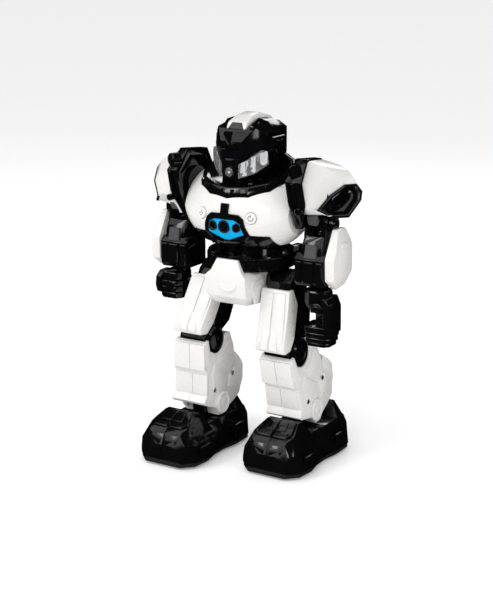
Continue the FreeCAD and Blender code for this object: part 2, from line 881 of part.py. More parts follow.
def scoop_prism(name, corners, outwards, depth):
    solid = doc.addObject("Part::Extrusion", unique(name))
    solid.Base = scoop_sketch(name, corners, outwards)
    solid.DirMode = "Custom"
    turn = value_of(size.scoop_turn)
    solid.Dir = FreeCAD.Rotation(Vector(0, 0, 1), turn).multVec(Vector(0, -1, 0))
    solid.Solid = True
    solid.LengthFwd = depth
    return solid


def forearm(side):
    elbow = (size.elbow_y, size.elbow_z)
    cheeks = []
    for start, width in (
        (size.arm_in - 0.5, size.elbow_tongue_in - size.arm_in + 0.5 - size.gap),
        (size.elbow_tongue_out + size.gap, size.arm_out - size.elbow_tongue_out - size.gap + 0.5),
    ):
        cheeks.append(rod("elbow_cheek_eye", "x", size.elbow_eye_radius, (side * start, *elbow), width, side))
        cheeks.append(prism(
            "elbow_cheek", "side",
            [(2.5, 196), (15.5, 196), (18, 188), (18, 176), (0, 176), (0, 188)], side * start, width, side,
        ))
    stem = prism(
        "forearm_stem", "side",
        [(0, 187), (18, 187), (20, 168), (-6, 168), (-4, 180)],
        side * size.arm_in, size.arm_out - size.arm_in, side,
    )
    cuff = prism(
        "forearm_cuff", "side",
        [(-8, 170), (-4, 174), (18, 174), (21, 168), (21, 152), (18, size.cuff_bottom),
         (-5, size.cuff_bottom), (-8, 153)],
        side * size.cuff_in, size.cuff_out - size.cuff_in, side,
    )
    pin_hole = rod("elbow_pin_hole", "x", size.elbow_pin_radius, (side * 45, *elbow), 40, side)
    wrist_hole = rod("wrist_hole", "z", size.wrist_radius + size.running,
                     (side * size.wrist_x, size.wrist_y, size.cuff_bottom - 1), 13)
    core = cut("forearm_core", fuse("forearm_whole", *cheeks, stem, cuff), pin_hole, wrist_hole)
    node(sided(side, "forearm_core"), core)
    pin = rod("elbow_pin_stem", "x", size.elbow_pin_radius, (side * (size.arm_in - 0.4), *elbow), 19, side)
    disc = rod("elbow_pin_disc", "x", size.elbow_disc_radius, (side * 70.7, *elbow), 3.5, side)
    node(sided(side, "elbow_pin"), fuse("elbow_pin", pin, disc))
    guard_side = [(-8, 172), (4, 193), (17, 193), (23, 182), (23, 160), (16, 149), (3, 147), (-7, 155)]
    guard = common(
        "guard_body",
        prism("guard_side", "side", guard_side, side * size.guard_in, size.guard_out - size.guard_in, side),
        prism("guard_front", "front",
              [(side * 73, 200), (side * 78, 200), (side * 82.5, 178), (side * 82.5, 158), (side * 78, 142),
               (side * 73, 142)], -20, 60),
    )
    stay = rod("guard_stay", "x", 3, (side * size.cuff_out, 8, 164), 4, side)
    node(sided(side, "forearm_shell"), fuse("forearm_shell", guard, stay))


def hands():
    grip = prism(
        "grip_hand", "front",
        [(57, 146), (72, 146), (77, 141), (80, 130), (79, 112), (73, 102.5), (60, 102.5), (55, 110),
         (55, 134)],
        -9, 24,
    )
    grip_hole = rod("grip_hole", "y", size.grip_radius, (size.grip_x, -20, size.grip_z), 60)
    wrist = rod("wrist_pin", "z", size.wrist_radius, (size.wrist_x, size.wrist_y, 140), 20)
    node("hand_left", cut("hand_left", fuse("grip_whole", grip, wrist), grip_hole))

    fist = common(
        "fist_body",
        prism("fist_front", "front",
              [(-57, 146), (-72, 146), (-79, 142), (-79, 128), (-75, 123), (-58, 123), (-54, 128),
               (-54, 143)], -10, 28),
        prism("fist_side", "side",
              [(-8, 140), (-2, 148), (16, 148), (18, 140), (17, 126), (10, 122.5), (-6, 122.5),
               (-10, 128)], -50, 32, -1),
    )
    wrist_right = rod("wrist_pin_right", "z", size.wrist_radius, (-size.wrist_x, size.wrist_y, 140), 20)
    node("hand_right", fuse("hand_right", fist, wrist_right))


# ---------------------------------------------------------------- legs

THIGH_PLATE = [(-18.5, -1), (-28, -23), (-37.5, -41), (-36.5, -46.5), (-27, -47), (-19, -39), (-8, -15),
               (-12, -1.5)]
THIGH_CHANNEL = [(-14.5, 5), (-16.3, -4.5), (-34.8, -42.5), (-31, -52), (5, -52), (5, 5)]
THIGH_CORE = [(-12, 3), (-6, 8.4), (6, 8.4), (11, 2), (14.5, -24), (9, -40), (0, -46), (-6, -52),
              (-8, -70), (-20, -70), (-24, -60), (-29, -44), (-33, -42), (-15, -5)]
SHIN_SIDE = [(-30.5, -54.5), (-27, -77), (-24.5, -80), (-22.5, -98), (-26.5, -103.3), (-24, -105.6),
             (-6, -110.5), (-3, -117), (5, -117), (9, -113), (20, -108.5), (28, -103.5), (30, -96),
             (26, -87), (18.5, -79), (13, -60), (6, -49), (-1, -50), (-10, -64), (-22, -62), (-26, -52)]
SHIN_CAVITY = [(-28, -50), (-24.6, -76), (-22, -80), (-20, -98), (18, -98), (24, -94), (16, -80),
               (10.5, -60), (3, -48), (-4, -40), (-20, -40)]


def leg_outline(top_in, top_out, low_in, low_out, top, low, side):
    """The front view of a limb that leans outwards on its way down."""
    return [(side * top_in, top), (side * top_out, top), (side * low_out, low), (side * low_in, low)]


def pose_leg(item, side):
    """Hang a piece drawn in the leg's frame on the hip, swung to the standing pose."""
    item.Placement.Rotation = FreeCAD.Rotation(Vector(1, 0, 0), side * value_of(size.leg_swing))
    item.setExpression("Placement.Rotation.Angle", f"{size.leg_swing.text}")
    if side < 0:
        item.setExpression("Placement.Rotation.Axis.x", "-1")
    return move(item, 0, size.body_y, size.hip_height)


def thigh(side):
    width = size.thigh_low_out - size.thigh_top_in + 4
    start = side * (size.thigh_top_in - 2)
    front_view = leg_outline(size.thigh_top_in, size.thigh_top_out, size.thigh_low_in, size.thigh_low_out,
                             2, -50, side)
    wall = size.core_inset - 0.2
    channel_view = leg_outline(size.thigh_top_in + wall, size.thigh_top_out - wall,
                               size.thigh_low_in + wall, size.thigh_low_out - wall, 2, -50, side)
    plate = common(
        "thigh_plate_body",
        prism("thigh_plate_side", "side", THIGH_PLATE, start, width, side),
        prism("thigh_plate_front", "front", front_view, -45, 60),
    )
    channel = common(
        "thigh_channel",
        prism("thigh_channel_side", "side", THIGH_CHANNEL, start, width, side),
        prism("thigh_channel_front", "front", channel_view, -45, 60),
    )
    pose_leg(node(sided(side, "thigh_plate"), cut("thigh_plate", plate, channel)), side)

    lean_in = (size.thigh_low_in - size.thigh_top_in) / 52
    lean_out = (size.thigh_low_out - size.thigh_top_out) / 52
    inset = size.core_inset
    core_view = leg_outline(
        size.thigh_top_in - 10 * lean_in + inset, size.thigh_top_out - 10 * lean_out - inset,
        size.thigh_low_in + 22 * lean_in + inset, size.thigh_low_out + 22 * lean_out - inset,
        12, -72, side,
    )
    core = common(
        "thigh_core_body",
        prism("thigh_core_side", "side", THIGH_CORE, start, width, side),
        prism("thigh_core_front", "front", core_view, -45, 70),
    )
    hub = rod("hip_hub", "x", size.hip_radius, (side * size.hip_inner, 0, 0), 23, side)
    bore = rod("hip_bore", "x", size.hip_axle_radius + size.running, (side * 10, 0, 0), 50, side)
    whole = fuse("thigh_core_whole", core, hub)
    pose_leg(node(sided(side, "thigh_core"), cut("thigh_core", whole, bore)), side)


def shin(side):
    top = -40
    low = -1 * size.shin_floor
    top_mid = (size.shin_top_in + size.shin_top_out) / 2
    low_mid = (size.shin_low_in + size.shin_low_out) / 2
    ankle = (0, -size.ankle_drop)
    knee = (-size.knee_forward, -size.knee_drop)
    slot_half = size.ankle_lug_width / 2 + size.gap
    start = side * (size.shin_top_in - 4)
    cavity_view = leg_outline(
        size.shin_top_in + size.wall, size.shin_top_out - size.wall,
        size.shin_low_in + size.wall, size.shin_low_out - size.wall, top, low, side,
    )
    halves = (
        ("shin_inner", leg_outline(size.shin_top_in, top_mid, size.shin_low_in, low_mid, top, low, side)),
        ("shin_outer", leg_outline(top_mid, size.shin_top_out, low_mid, size.shin_low_out, top, low, side)),
    )
    for word, view in halves:
        body = common(
            word + "_body",
            prism(word + "_side", "side", SHIN_SIDE, start, 44, side),
            prism(word + "_front", "front", view, -50, 100),
        )
        cavity = common(
            word + "_cavity",
            prism(word + "_cavity_side", "side", SHIN_CAVITY, start, 44, side),
            prism(word + "_cavity_front", "front", cavity_view, -50, 100),
        )
        slot = prism(
            word + "_slot", "front",
            [(side * (size.ankle_x - slot_half), -95), (side * (size.ankle_x + slot_half), -95),
             (side * (size.ankle_x + slot_half), -125), (side * (size.ankle_x - slot_half), -125)],
            -size.ankle_slot_depth, 2 * size.ankle_slot_depth,
        )
        pin_hole = rod("ankle_pin_hole", "x", size.ankle_pin_radius, (side * 15, *ankle), 50, side)
        knee_room = rod("knee_room", "x", size.knee_radius + size.gap, (side * 15, *knee), 50, side)
        pose_leg(node(sided(side, word), cut(word, body, cavity, slot, pin_hole, knee_room)), side)
    pin = fuse(
        "ankle_pin",
        rod("ankle_pin_stem", "x", size.ankle_pin_radius, (side * size.ankle_pin_in, *ankle), 32, side),
        rod("ankle_pin_head", "x", size.ankle_head_radius, (side * size.ankle_pin_in, *ankle),
            size.ankle_head_depth, -side),
    )
    pose_leg(node(sided(side, "ankle_pin"), pin), side)
    caps = group(
        "knee_caps",
        rod("knee_cap_inner", "x", size.knee_radius, (side * size.knee_cap_in, *knee),
            size.knee_cap_depth, -side),
        rod("knee_cap_outer", "x", size.knee_radius, (side * size.knee_cap_out, *knee),
            size.knee_cap_depth, side),
    )
    pose_leg(node(sided(side, "knee_caps"), caps), side)


# ---------------------------------------------------------------- feet

FOOT_SIDE = [(-57.5, 5.4), (-59.6, 9), (-59, 20), (-55.5, 26.5), (-52, 29.5), (-33, 38.3), (-27.5, 38.5),
             (-22, 30), (-15, 27), (15, 27), (24, 30.5), (28.6, 38.4), (32.5, 38.4), (35.8, 21), (35.8, 7),
             (34, 5.4)]
FOOT_CAVITY_SIDE = [(-56, 4), (-56, 19), (-32, 34), (-20, 24.6), (20, 24.6), (31, 20), (31, 4)]


def foot_place(item, side):
    """Stand a foot piece, drawn about its own middle, under the ankle."""
    stride = size.ankle_drop * sine(size.leg_swing)
    return move(item, side * size.foot_x, size.body_y + side * stride, 0)


def foot_plan(name, grow, low, height):
    toe = size.foot_toe + grow
    heel = size.foot_heel + grow
    half = size.foot_half + grow
    waist = size.foot_waist + grow
    half_plan = [
        (17 + grow, -toe), (26 + grow, -50), (half, -34), (waist, -20), (waist, -6), (half, 8), (half, 28),
        (22 + grow, heel),
    ]
    return prism(name, "top", both_ways(half_plan), low, height)


def foot(side):
    ankle_z = size.hip_height - size.ankle_drop * cosine(size.leg_swing)
    lug_x = side * (size.ankle_x - size.foot_x)
    body = common(
        "foot_body",
        prism("foot_side", "side", FOOT_SIDE, -30, 60),
        foot_plan("foot_top", 0, 0, 60),
        prism("foot_front", "front",
              both_ways([(14, 42), (17, 34), (24, 24), (size.foot_half, 13), (size.foot_half, 4)]), -70, 120),
    )
    cavity = common(
        "foot_cavity",
        prism("foot_cavity_side", "side", FOOT_CAVITY_SIDE, -22, 44),
        prism("foot_cavity_front", "front", both_ways([(11, 36), (18, 24), (22, 14), (22, 3)]), -70, 120),
    )
    lug_half = size.ankle_lug_width / 2
    lug = fuse(
        "foot_lug",
        rod("foot_lug_eye", "x", size.ankle_lug_radius, (lug_x - lug_half, 0, ankle_z), size.ankle_lug_width),
        box("foot_lug_post", (lug_x - lug_half, -size.ankle_lug_radius, 24.8),
            (lug_x + lug_half, size.ankle_lug_radius, ankle_z)),
    )
    hole = rod("foot_lug_hole", "x", size.ankle_pin_radius + size.running, (-30, 0, ankle_z), 60)
    shell = cut("foot_shell", fuse("foot_whole", cut("foot_hollow", body, cavity), lug), hole)
    foot_place(node(sided(side, "foot_shell"), shell), side)

    thickness = size.foot_bottom - size.sole_bottom
    plate = foot_plan("sole", -0.8, size.sole_bottom, thickness)
    glide = box("glide", (-size.glide_half, -size.glide_front, 0), (size.glide_half, -size.glide_back, 3))
    slots = [
        box(
            "wheel_slot",
            (x - 1, size.wheel_y - size.wheel_slot_half, -1),
            (x + size.wheel_width + 1, size.wheel_y + size.wheel_slot_half, 10),
        )
        for x in (size.wheel_inner, -size.wheel_inner - size.wheel_width)
    ]
    whole = fuse("sole_whole", plate, glide)
    foot_place(node(sided(side, "sole_plate"), cut("sole_plate", whole, *slots)), side)

    axle_z = size.wheel_radius
    motor_box = box("motor_box", (-size.motor_half, size.wheel_y - 17, size.foot_bottom + 0.2),
                    (size.motor_half, size.wheel_y + 6, 20))
    axle_hole = rod("motor_axle_hole", "x", size.wheel_axle_radius + size.running,
                    (-20, size.wheel_y, axle_z), 40)
    foot_place(node(sided(side, "foot_motor"), cut("foot_motor", motor_box, axle_hole)), side)

    half_axle = size.wheel_inner + size.wheel_width
    wheels = fuse(
        "drive_wheels",
        rod("wheel_axle", "x", size.wheel_axle_radius, (-half_axle, size.wheel_y, axle_z), 2 * half_axle),
        rod("wheel", "x", size.wheel_radius, (size.wheel_inner, size.wheel_y, axle_z), size.wheel_width),
        rod("wheel", "x", size.wheel_radius, (-half_axle, size.wheel_y, axle_z), size.wheel_width),
    )
    foot_place(node(sided(side, "drive_wheels"), wheels), side)


# ---------------------------------------------------------------- assembly and output

pelvis()
waist_ring()
waist_turntable()
torso_shells()
badge()
buttons()
neck_collar()
torso_contents()
head()
shoulders()
for which_side in (1, -1):
    forearm(which_side)
    thigh(which_side)
    shin(which_side)
    foot(which_side)
hands()

doc.recompute()

for item in doc.Objects:
    if "Invalid" in item.State or "Error" in item.State:
        raise RuntimeError(f"{item.Label} failed: {item.State}")

for label, item in nodes.items():
    shape = item.Shape
    if shape.isNull() or not shape.isValid() or not shape.Solids:
        raise RuntimeError(f"{label} has no valid solid")
    shape.exportStep(f"parts/{label}.step")

print(len(nodes), "nodes")
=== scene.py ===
import json
from math import cos, pi, radians, sin, tan, tau

import bmesh
import bpy
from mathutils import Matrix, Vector
from mathutils.bvhtree import BVHTree


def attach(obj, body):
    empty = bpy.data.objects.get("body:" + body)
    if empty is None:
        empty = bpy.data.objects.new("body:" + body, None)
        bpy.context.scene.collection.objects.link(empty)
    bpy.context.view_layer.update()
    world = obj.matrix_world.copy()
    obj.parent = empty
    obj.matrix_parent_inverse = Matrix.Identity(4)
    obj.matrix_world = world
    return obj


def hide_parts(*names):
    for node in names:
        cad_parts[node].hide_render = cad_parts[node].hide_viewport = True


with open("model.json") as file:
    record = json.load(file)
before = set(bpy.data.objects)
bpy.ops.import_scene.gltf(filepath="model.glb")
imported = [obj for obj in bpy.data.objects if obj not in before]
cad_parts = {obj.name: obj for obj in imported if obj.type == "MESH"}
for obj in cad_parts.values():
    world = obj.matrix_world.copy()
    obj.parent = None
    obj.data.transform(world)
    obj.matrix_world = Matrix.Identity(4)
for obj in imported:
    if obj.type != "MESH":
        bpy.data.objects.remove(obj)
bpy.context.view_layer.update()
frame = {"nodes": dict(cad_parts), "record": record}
scene = bpy.context.scene

# The toy robot stands on the floor, faces -Y and has its own left side at +X. Sizes below are in
# millimetres; every mesh is scaled to metres as it is made.
MM = 0.001
SIDES = ((1, "left"), (-1, "right"))
# The head, the waist and the hips turn about axes at this depth. The hips' axis is HIP_Z above the floor,
# and each ankle's is ANKLE_DROP below it along the leg. At rest each leg stands REST_SWING degrees from
# upright, one forwards and one back.
AXIS_Y = 12
HIP_Z = 146
ANKLE_DROP = 106.3
REST_SWING = 6.25
bodies = frame["record"]["behaviour"]["bodies"]
body_of_node = {node: body for body, nodes in bodies.items() for node in nodes}
slot_of_node = {part["node"]: part["material_slot"] for part in frame["record"]["subparts"]}


# ---------------- materials


def material(name, colour, roughness, spread=0.06, shade=0.05, grain=0.25, grain_size=0.35, wave=0.12,
             **sockets):
    """Moulded plastic or metal: cloudy gloss, slightly uneven colour, fine grain and a slow ripple."""
    finish = bpy.data.materials.new(name)
    finish.use_nodes = True
    tree = finish.node_tree
    shader = tree.nodes["Principled BSDF"]
    for socket, value in sockets.items():
        shader.inputs[socket.replace("_", " ").title().replace("Ior", "IOR")].default_value = value

    def add(kind, **settings):
        """A new shader node with its inputs set."""
        made = tree.nodes.new(kind)
        for key, value in settings.items():
            made.inputs[key].default_value = value
        return made

    place = add("ShaderNodeTexCoord").outputs["Object"]
    cloud = add("ShaderNodeTexNoise", Scale=70.0, Detail=4.0, Roughness=0.6)
    fine = add("ShaderNodeTexNoise", Scale=1000.0 / grain_size, Detail=2.0)
    slow = add("ShaderNodeTexNoise", Scale=110.0, Detail=1.0)
    for noise in (cloud, fine, slow):
        tree.links.new(place, noise.inputs["Vector"])

    tint = tree.nodes.new("ShaderNodeMix")
    tint.data_type = "RGBA"
    tint.inputs[6].default_value = (*[channel * (1 - shade) for channel in colour], 1)
    tint.inputs[7].default_value = (*[min(1, channel * (1 + shade)) for channel in colour], 1)
    tree.links.new(cloud.outputs["Fac"], tint.inputs[0])
    tree.links.new(tint.outputs[2], shader.inputs["Base Color"])

    gloss = tree.nodes.new("ShaderNodeMapRange")
    gloss.inputs["From Min"].default_value = 0.3
    gloss.inputs["From Max"].default_value = 0.7
    gloss.inputs["To Min"].default_value = max(0.02, roughness - spread)
    gloss.inputs["To Max"].default_value = roughness + spread
    tree.links.new(cloud.outputs["Fac"], gloss.inputs["Value"])
    tree.links.new(gloss.outputs["Result"], shader.inputs["Roughness"])

    ripple = add("ShaderNodeBump", Strength=wave, Distance=0.0006)
    skin = add("ShaderNodeBump", Strength=grain, Distance=0.00003)
    tree.links.new(slow.outputs["Fac"], ripple.inputs["Height"])
    tree.links.new(fine.outputs["Fac"], skin.inputs["Height"])
    tree.links.new(ripple.outputs["Normal"], skin.inputs["Normal"])
    tree.links.new(skin.outputs["Normal"], shader.inputs["Normal"])
    return finish


FINISHES = {
    "white_shell": material("white_shell", (0.80, 0.785, 0.765), 0.28, spread=0.04, shade=0.012, wave=0.06,
                            coat_weight=0.2, coat_roughness=0.1),
    "black_shell": material("black_shell", (0.003, 0.003, 0.0034), 0.10, spread=0.03, shade=0.2, wave=0.1,
                            specular_ior_level=0.5),
    "blue_panel": material("blue_panel", (0.0, 0.38, 0.74), 0.25, specular_ior_level=0.2),
    "dark_lens": material("dark_lens", (0.003, 0.003, 0.005), 0.05, spread=0.03, grain=0.05,
                          specular_ior_level=0.3),
    "clear_lens": material("clear_lens", (0.95, 0.96, 0.97), 0.05, spread=0.03, shade=0.02, grain=0.05,
                           transmission_weight=0.92, ior=1.49),
    "button_white": material("button_white", (0.80, 0.79, 0.77), 0.42, grain=0.5),
    "steel": material("steel", (0.55, 0.55, 0.56), 0.3, metallic=1.0),
    "tyre": material("tyre", (0.02, 0.02, 0.02), 0.75, grain=0.7, grain_size=0.6),
    "sole": material("sole", (0.012, 0.012, 0.013), 0.5, grain=0.6, grain_size=0.5),
    "inner_part": material("inner_part", (0.03, 0.12, 0.05), 0.45, shade=0.15),
    "battery": material("battery", (0.03, 0.08, 0.30), 0.3),
    "door_grey": material("door_grey", (0.02, 0.02, 0.022), 0.4, grain=0.6),
    "reflector": material("reflector", (0.78, 0.79, 0.80), 0.16, spread=0.08, metallic=1.0),
    "mark_grey": material("mark_grey", (0.10, 0.10, 0.11), 0.5),
    "satin_black": material("satin_black", (0.014, 0.014, 0.015), 0.34, spread=0.08, shade=0.2),
    "grey_panel": material("grey_panel", (0.075, 0.075, 0.078), 0.3, spread=0.08, shade=0.15),
}


# ---------------- mesh helpers


def shade_smooth(mesh):
    """Smooth shading, with edges of more than 30 degrees kept sharp."""
    mesh.polygons.foreach_set("use_smooth", [True] * len(mesh.polygons))
    mesh.set_sharp_from_angle(angle=radians(30))


def new_object(name, shape, finish, body, slot=None):
    """A piece from a bmesh, riding on a body; the slot argument is not used."""
    slot = slot or finish
    mesh = bpy.data.meshes.new(name)
    shape.to_mesh(mesh)
    shape.free()
    for spare in ("custom_normal", "sharp_face"):
        if spare in mesh.attributes:
            mesh.attributes.remove(mesh.attributes[spare])
    mesh.materials.clear()
    mesh.materials.append(FINISHES[finish])
    mesh.polygons.foreach_set("material_index", [0] * len(mesh.polygons))
    shade_smooth(mesh)
    piece = bpy.data.objects.new(name, mesh)
    scene.collection.objects.link(piece)
    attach(piece, body)
    return piece


def apply_modifiers(piece):
    """Turn the piece's modifiers into its mesh."""
    bpy.context.view_layer.update()
    mesh = bpy.data.meshes.new_from_object(piece.evaluated_get(bpy.context.evaluated_depsgraph_get()))
    piece.modifiers.clear()
    piece.data = mesh
    shade_smooth(mesh)


def bevelled(piece, width, segments=2, angle=24):
    """Round a piece's hard edges by width millimetres."""
    rounding = piece.modifiers.new("edges", "BEVEL")
    rounding.width = width * MM
    rounding.segments = segments
    rounding.limit_method = "ANGLE"
    rounding.angle_limit = radians(angle)
    rounding.miter_outer = "MITER_ARC"
    apply_modifiers(piece)


def scaled_shape(points, faces):
    """A bmesh in metres from millimetre points and faces."""
    shape = bmesh.new()
    corners = [shape.verts.new(Vector(point) * MM) for point in points]
    for face in faces:
        shape.faces.new([corners[index] for index in face])
    bmesh.ops.recalc_face_normals(shape, faces=shape.faces)
    return shape


def inset(outline, distance):
    """Move every side of a closed outline inwards; the outline is given as (u, v) pairs."""
    area = sum(a[0] * b[1] - b[0] * a[1] for a, b in zip(outline, outline[1:] + outline[:1]))
    turn = 1 if area > 0 else -1
    moved = []
    count = len(outline)
    for index in range(count):
        here = Vector(outline[index])
        before = (here - Vector(outline[index - 1])).normalized()
        after = (Vector(outline[(index + 1) % count]) - here).normalized()
        inward = [Vector((-edge.y, edge.x)) * turn for edge in (before, after)]
        middle = inward[0] + inward[1]
        reach = distance / max(0.3, middle.length_squared / 2)
        moved.append(tuple(here + middle * reach))
    return moved


def lofted(rings):
    """A closed bmesh through rings of millimetre points, capped at both ends."""
    count = len(rings[0])
    points = [point for ring in rings for point in ring]
    faces = [list(range(count)), [len(points) - count + index for index in range(count)]]
    for level in range(len(rings) - 1):
        low = level * count
        for index in range(count):
            after = (index + 1) % count
            faces.append([low + index, low + after, low + count + after, low + count + index])
    return scaled_shape(points, faces)


def plane_at(origin, outward, up=(0, 0, 1)):
    """A slanted plane's origin with its u, v and outward directions."""
    out = Vector(outward).normalized()
    across = Vector(up).cross(out).normalized()
    return Vector(origin), across, out.cross(across), out


def plate(plane, outline, height, slope=0.6, sink=0.6):
    """A raised panel on a plane_at plane, with chamfered sides."""
    origin, across, up, out = plane

    def ring(corners, level):
        """An outline of the plane at a level above it."""
        return [origin + across * u + up * v + out * level for u, v in corners]

    return lofted([ring(outline, -sink), ring(outline, height - slope), ring(inset(outline, slope), height)])


def block(low, high):
    """A box between two corners."""
    (x0, y0, z0), (x1, y1, z1) = low, high
    ring = [(x0, y0), (x1, y0), (x1, y1), (x0, y1)]
    return lofted([[(x, y, z) for x, y in ring] for z in (z0, z1)])


def lathe(profile, centre, axis, count=32):
    """A solid of revolution from (radius, distance along axis) pairs."""
    upright = abs(Vector(axis).normalized().z) >= 0.9
    origin, across, up, out = plane_at(centre, axis, (0, 1, 0) if upright else (0, 0, 1))
    rings = []
    for radius, along in profile:
        rings.append([
            origin + out * along
            + (across * cos(step * tau / count) + up * sin(step * tau / count)) * radius
            for step in range(count)
        ])
    return lofted(rings)


def merged(shapes):
    """One bmesh from several."""
    whole = bmesh.new()
    for shape in shapes:
        mesh = bpy.data.meshes.new("part")
        shape.to_mesh(mesh)
        shape.free()
        whole.from_mesh(mesh)
        bpy.data.meshes.remove(mesh)
    return whole


def cad_shape(node, flatten=1.0):
    """A bmesh of a CAD node with its seams closed and its flat faces joined."""
    shape = bmesh.new()
    shape.from_mesh(frame["nodes"][node].data)
    bmesh.ops.remove_doubles(shape, verts=shape.verts, dist=2e-6)
    if flatten:
        bmesh.ops.dissolve_limit(shape, angle_limit=radians(flatten), verts=shape.verts, edges=shape.edges)
    return shape


def carve(piece, cutters):
    """Take each cutter bmesh out of a piece."""
    mesh = bpy.data.meshes.new("cutter")
    shape = merged(cutters)
    shape.to_mesh(mesh)
    shape.free()
    cutter = bpy.data.objects.new("cutter", mesh)
    scene.collection.objects.link(cutter)
    cutting = piece.modifiers.new("cut", "BOOLEAN")
    cutting.operation = "DIFFERENCE"
    cutting.solver = "EXACT"
    cutting.use_self = True
    cutting.object = cutter
    apply_modifiers(piece)
    bpy.data.objects.remove(cutter)


trees = {}


def surface(nodes, start, direction):
    """Where a ray in millimetres meets the first of some CAD nodes: point in millimetres, and normal."""
    for node in nodes.split():
        if node not in trees:
            shape = bmesh.new()
            shape.from_mesh(frame["nodes"][node].data)
            trees[node] = BVHTree.FromBMesh(shape)
            shape.free()
        point, normal, _, _ = trees[node].ray_cast(Vector(start) * MM, Vector(direction).normalized())
        if point is not None:
            return point / MM, normal
    raise ValueError(f"no surface of {nodes} from {tuple(start)}")


def screw(centre, outward, radius):
    """A cross-head screw: a dished head with its cross."""
    profile = [(radius, -0.6), (radius, 0.1), (radius * 0.8, 0.35), (radius * 0.3, 0.42)]
    head = lathe(profile, centre, outward, 20)
    origin, across, up, out = plane_at(centre, outward)
    arm, half_width = radius * 0.6, radius * 0.13
    bars = []
    for u, v in ((arm, half_width), (half_width, arm)):
        ring = [(-u, -v), (u, -v), (u, v), (-u, v)]
        bars.append(lofted([
            [origin + across * a + up * b + out * level for a, b in ring] for level in (0.38, 0.5)
        ]))
    return merged([head, *bars])


# ---------------- CAD nodes with their own shape

BEVELS = {
    # rounding of each node's hard edges, in millimetres
    "pelvis_front_cover": 1.0, "pelvis_rear_cover": 1.0, "waist_ring": 0.6, "waist_turntable": 0.4,
    "power_button": 0.5, "mode_button": 0.5, "sensor_lenses": 0.5,
    "helmet_shell": 0.8, "helmet_crest": 1.4, "face_mask": 0.6, "neck_post": 0.4,
}
SIDE_BEVELS = {
    "shoulder_core": 0.7, "shoulder_frame": 0.8, "forearm_core": 0.8,
    "forearm_shell": 1.4, "elbow_pin": 0.6, "thigh_plate": 1.6, "thigh_core": 0.7,
    "shin_inner": 0.8, "shin_outer": 0.8, "ankle_pin": 0.7,
    "sole_plate": 0.4,
}
for part, width in SIDE_BEVELS.items():
    for _, word in SIDES:
        BEVELS[f"{part}_{word}"] = width


def polished(node, cutters=(), flatten=1.0):
    """A piece with a CAD node's shape, rounded edges and cut grooves, in place of the node."""
    slot = slot_of_node[node]
    piece = new_object(f"{node}_finished", cad_shape(node, flatten), slot, body_of_node[node])
    if cutters:
        carve(piece, cutters)
    if node in BEVELS:
        bevelled(piece, BEVELS[node])
    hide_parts(node)


# A node that keeps its CAD shape shows in its slot's finish.
for label, cad_node in frame["nodes"].items():
    cad_node.data.materials.clear()
    cad_node.data.materials.append(FINISHES[slot_of_node[label]])

# Grooves across the helmet's back, and room under the hoods at the top of each shoulder core.
CUTS = {
    "helmet_shell": [block((-9, 34.8, z), (9, 40, z + 1.4)) for z in (240, 244, 248)],
    "shoulder_core_left": [block((61, -12, 200), (75, 4, 240))],
    "shoulder_core_right": [block((-75, -12, 200), (-61, 4, 240))],
}
for label in BEVELS:
    polished(label, CUTS.get(label, ()))

for label in ("chest_shell", "back_shell", "sensor_bezel", "sensor_panel", "battery_door"):
    polished(label, flatten=0)


# ---------------- raised and sunk detail


def facet(corners, rise, out, slope=0.5, sink=1.2):
    """A raised plate over a loop of 3-D corners; out is a rough outward direction."""
    corners = [Vector(corner) for corner in corners]
    middle = sum(corners, Vector()) / len(corners)
    normal = Vector()
    for here, after in zip(corners, corners[1:] + corners[:1]):
        normal += (here - middle).cross(after - middle)
    normal.normalize()
    if normal.dot(Vector(out)) < 0:
        normal = -normal
    top = [corner + normal * rise + (middle - corner).normalized() * slope for corner in corners]
    return lofted([
        [corner - normal * sink for corner in corners],
        [corner + normal * (rise - min(slope, rise * 0.8)) for corner in corners],
        top,
    ])


def sided(side, points):
    """Points given for the robot's left, there (side is 1) or mirrored to its right (-1)."""
    return [(side * x, y, z) for x, y, z in points]


def at_x(x, points):
    """Corners in the plane at x, from (y, z) pairs."""
    return [(x, y, z) for y, z in points]


def at_y(y, points):
    """Corners in the plane at y, from (x, z) pairs."""
    return [(x, y, z) for x, z in points]


def facet_pair(corners, rise, out, slope=0.5, sink=1.2):
    """A facet on the robot's left and its mirror image on the right."""
    return [facet(sided(side, corners), rise, sided(side, [out])[0], slope, sink) for side in (1, -1)]


def draped(node, quad, direction, rise, sink, across=8, down=4, far=80):
    """A skin over a curved CAD node: quad gives four (x, y, z) corners off the surface, in order."""
    a, b, c, d = [Vector(corner) for corner in quad]
    out = -Vector(direction)
    outer, inner = [], []
    for row in range(down + 1):
        for column in range(across + 1):
            u, v = column / across, row / down
            start = (a * (1 - u) + b * u) * (1 - v) + (d * (1 - u) + c * u) * v
            point, normal = surface(node, start + out * far, direction)
            if normal.dot(out) < 0:
                normal = -normal
            outer.append(point + normal * rise)
            inner.append(point - normal * sink)
    width = across + 1
    total = len(outer)
    faces = []
    for row in range(down):
        for column in range(across):
            corner = row * width + column
            square = [corner, corner + 1, corner + width + 1, corner + width]
            faces.append(square)
            faces.append([index + total for index in reversed(square)])
    edge = list(range(width)) + [row * width + across for row in range(1, down + 1)]
    edge += list(range(total - 2, total - width - 1, -1)) + [row * width for row in range(down - 1, 0, -1)]
    for here, after in zip(edge, edge[1:] + edge[:1]):
        faces.append([here, after, after + total, here + total])
    return scaled_shape(outer + inner, faces)


def detail(name, shapes, finish, body, slot=None, rounding=0):
    """One finished piece from several bmeshes."""
    piece = new_object(name, merged(shapes), finish, body, slot)
    if rounding:
        bevelled(piece, rounding)
    return piece


# ---------------- head


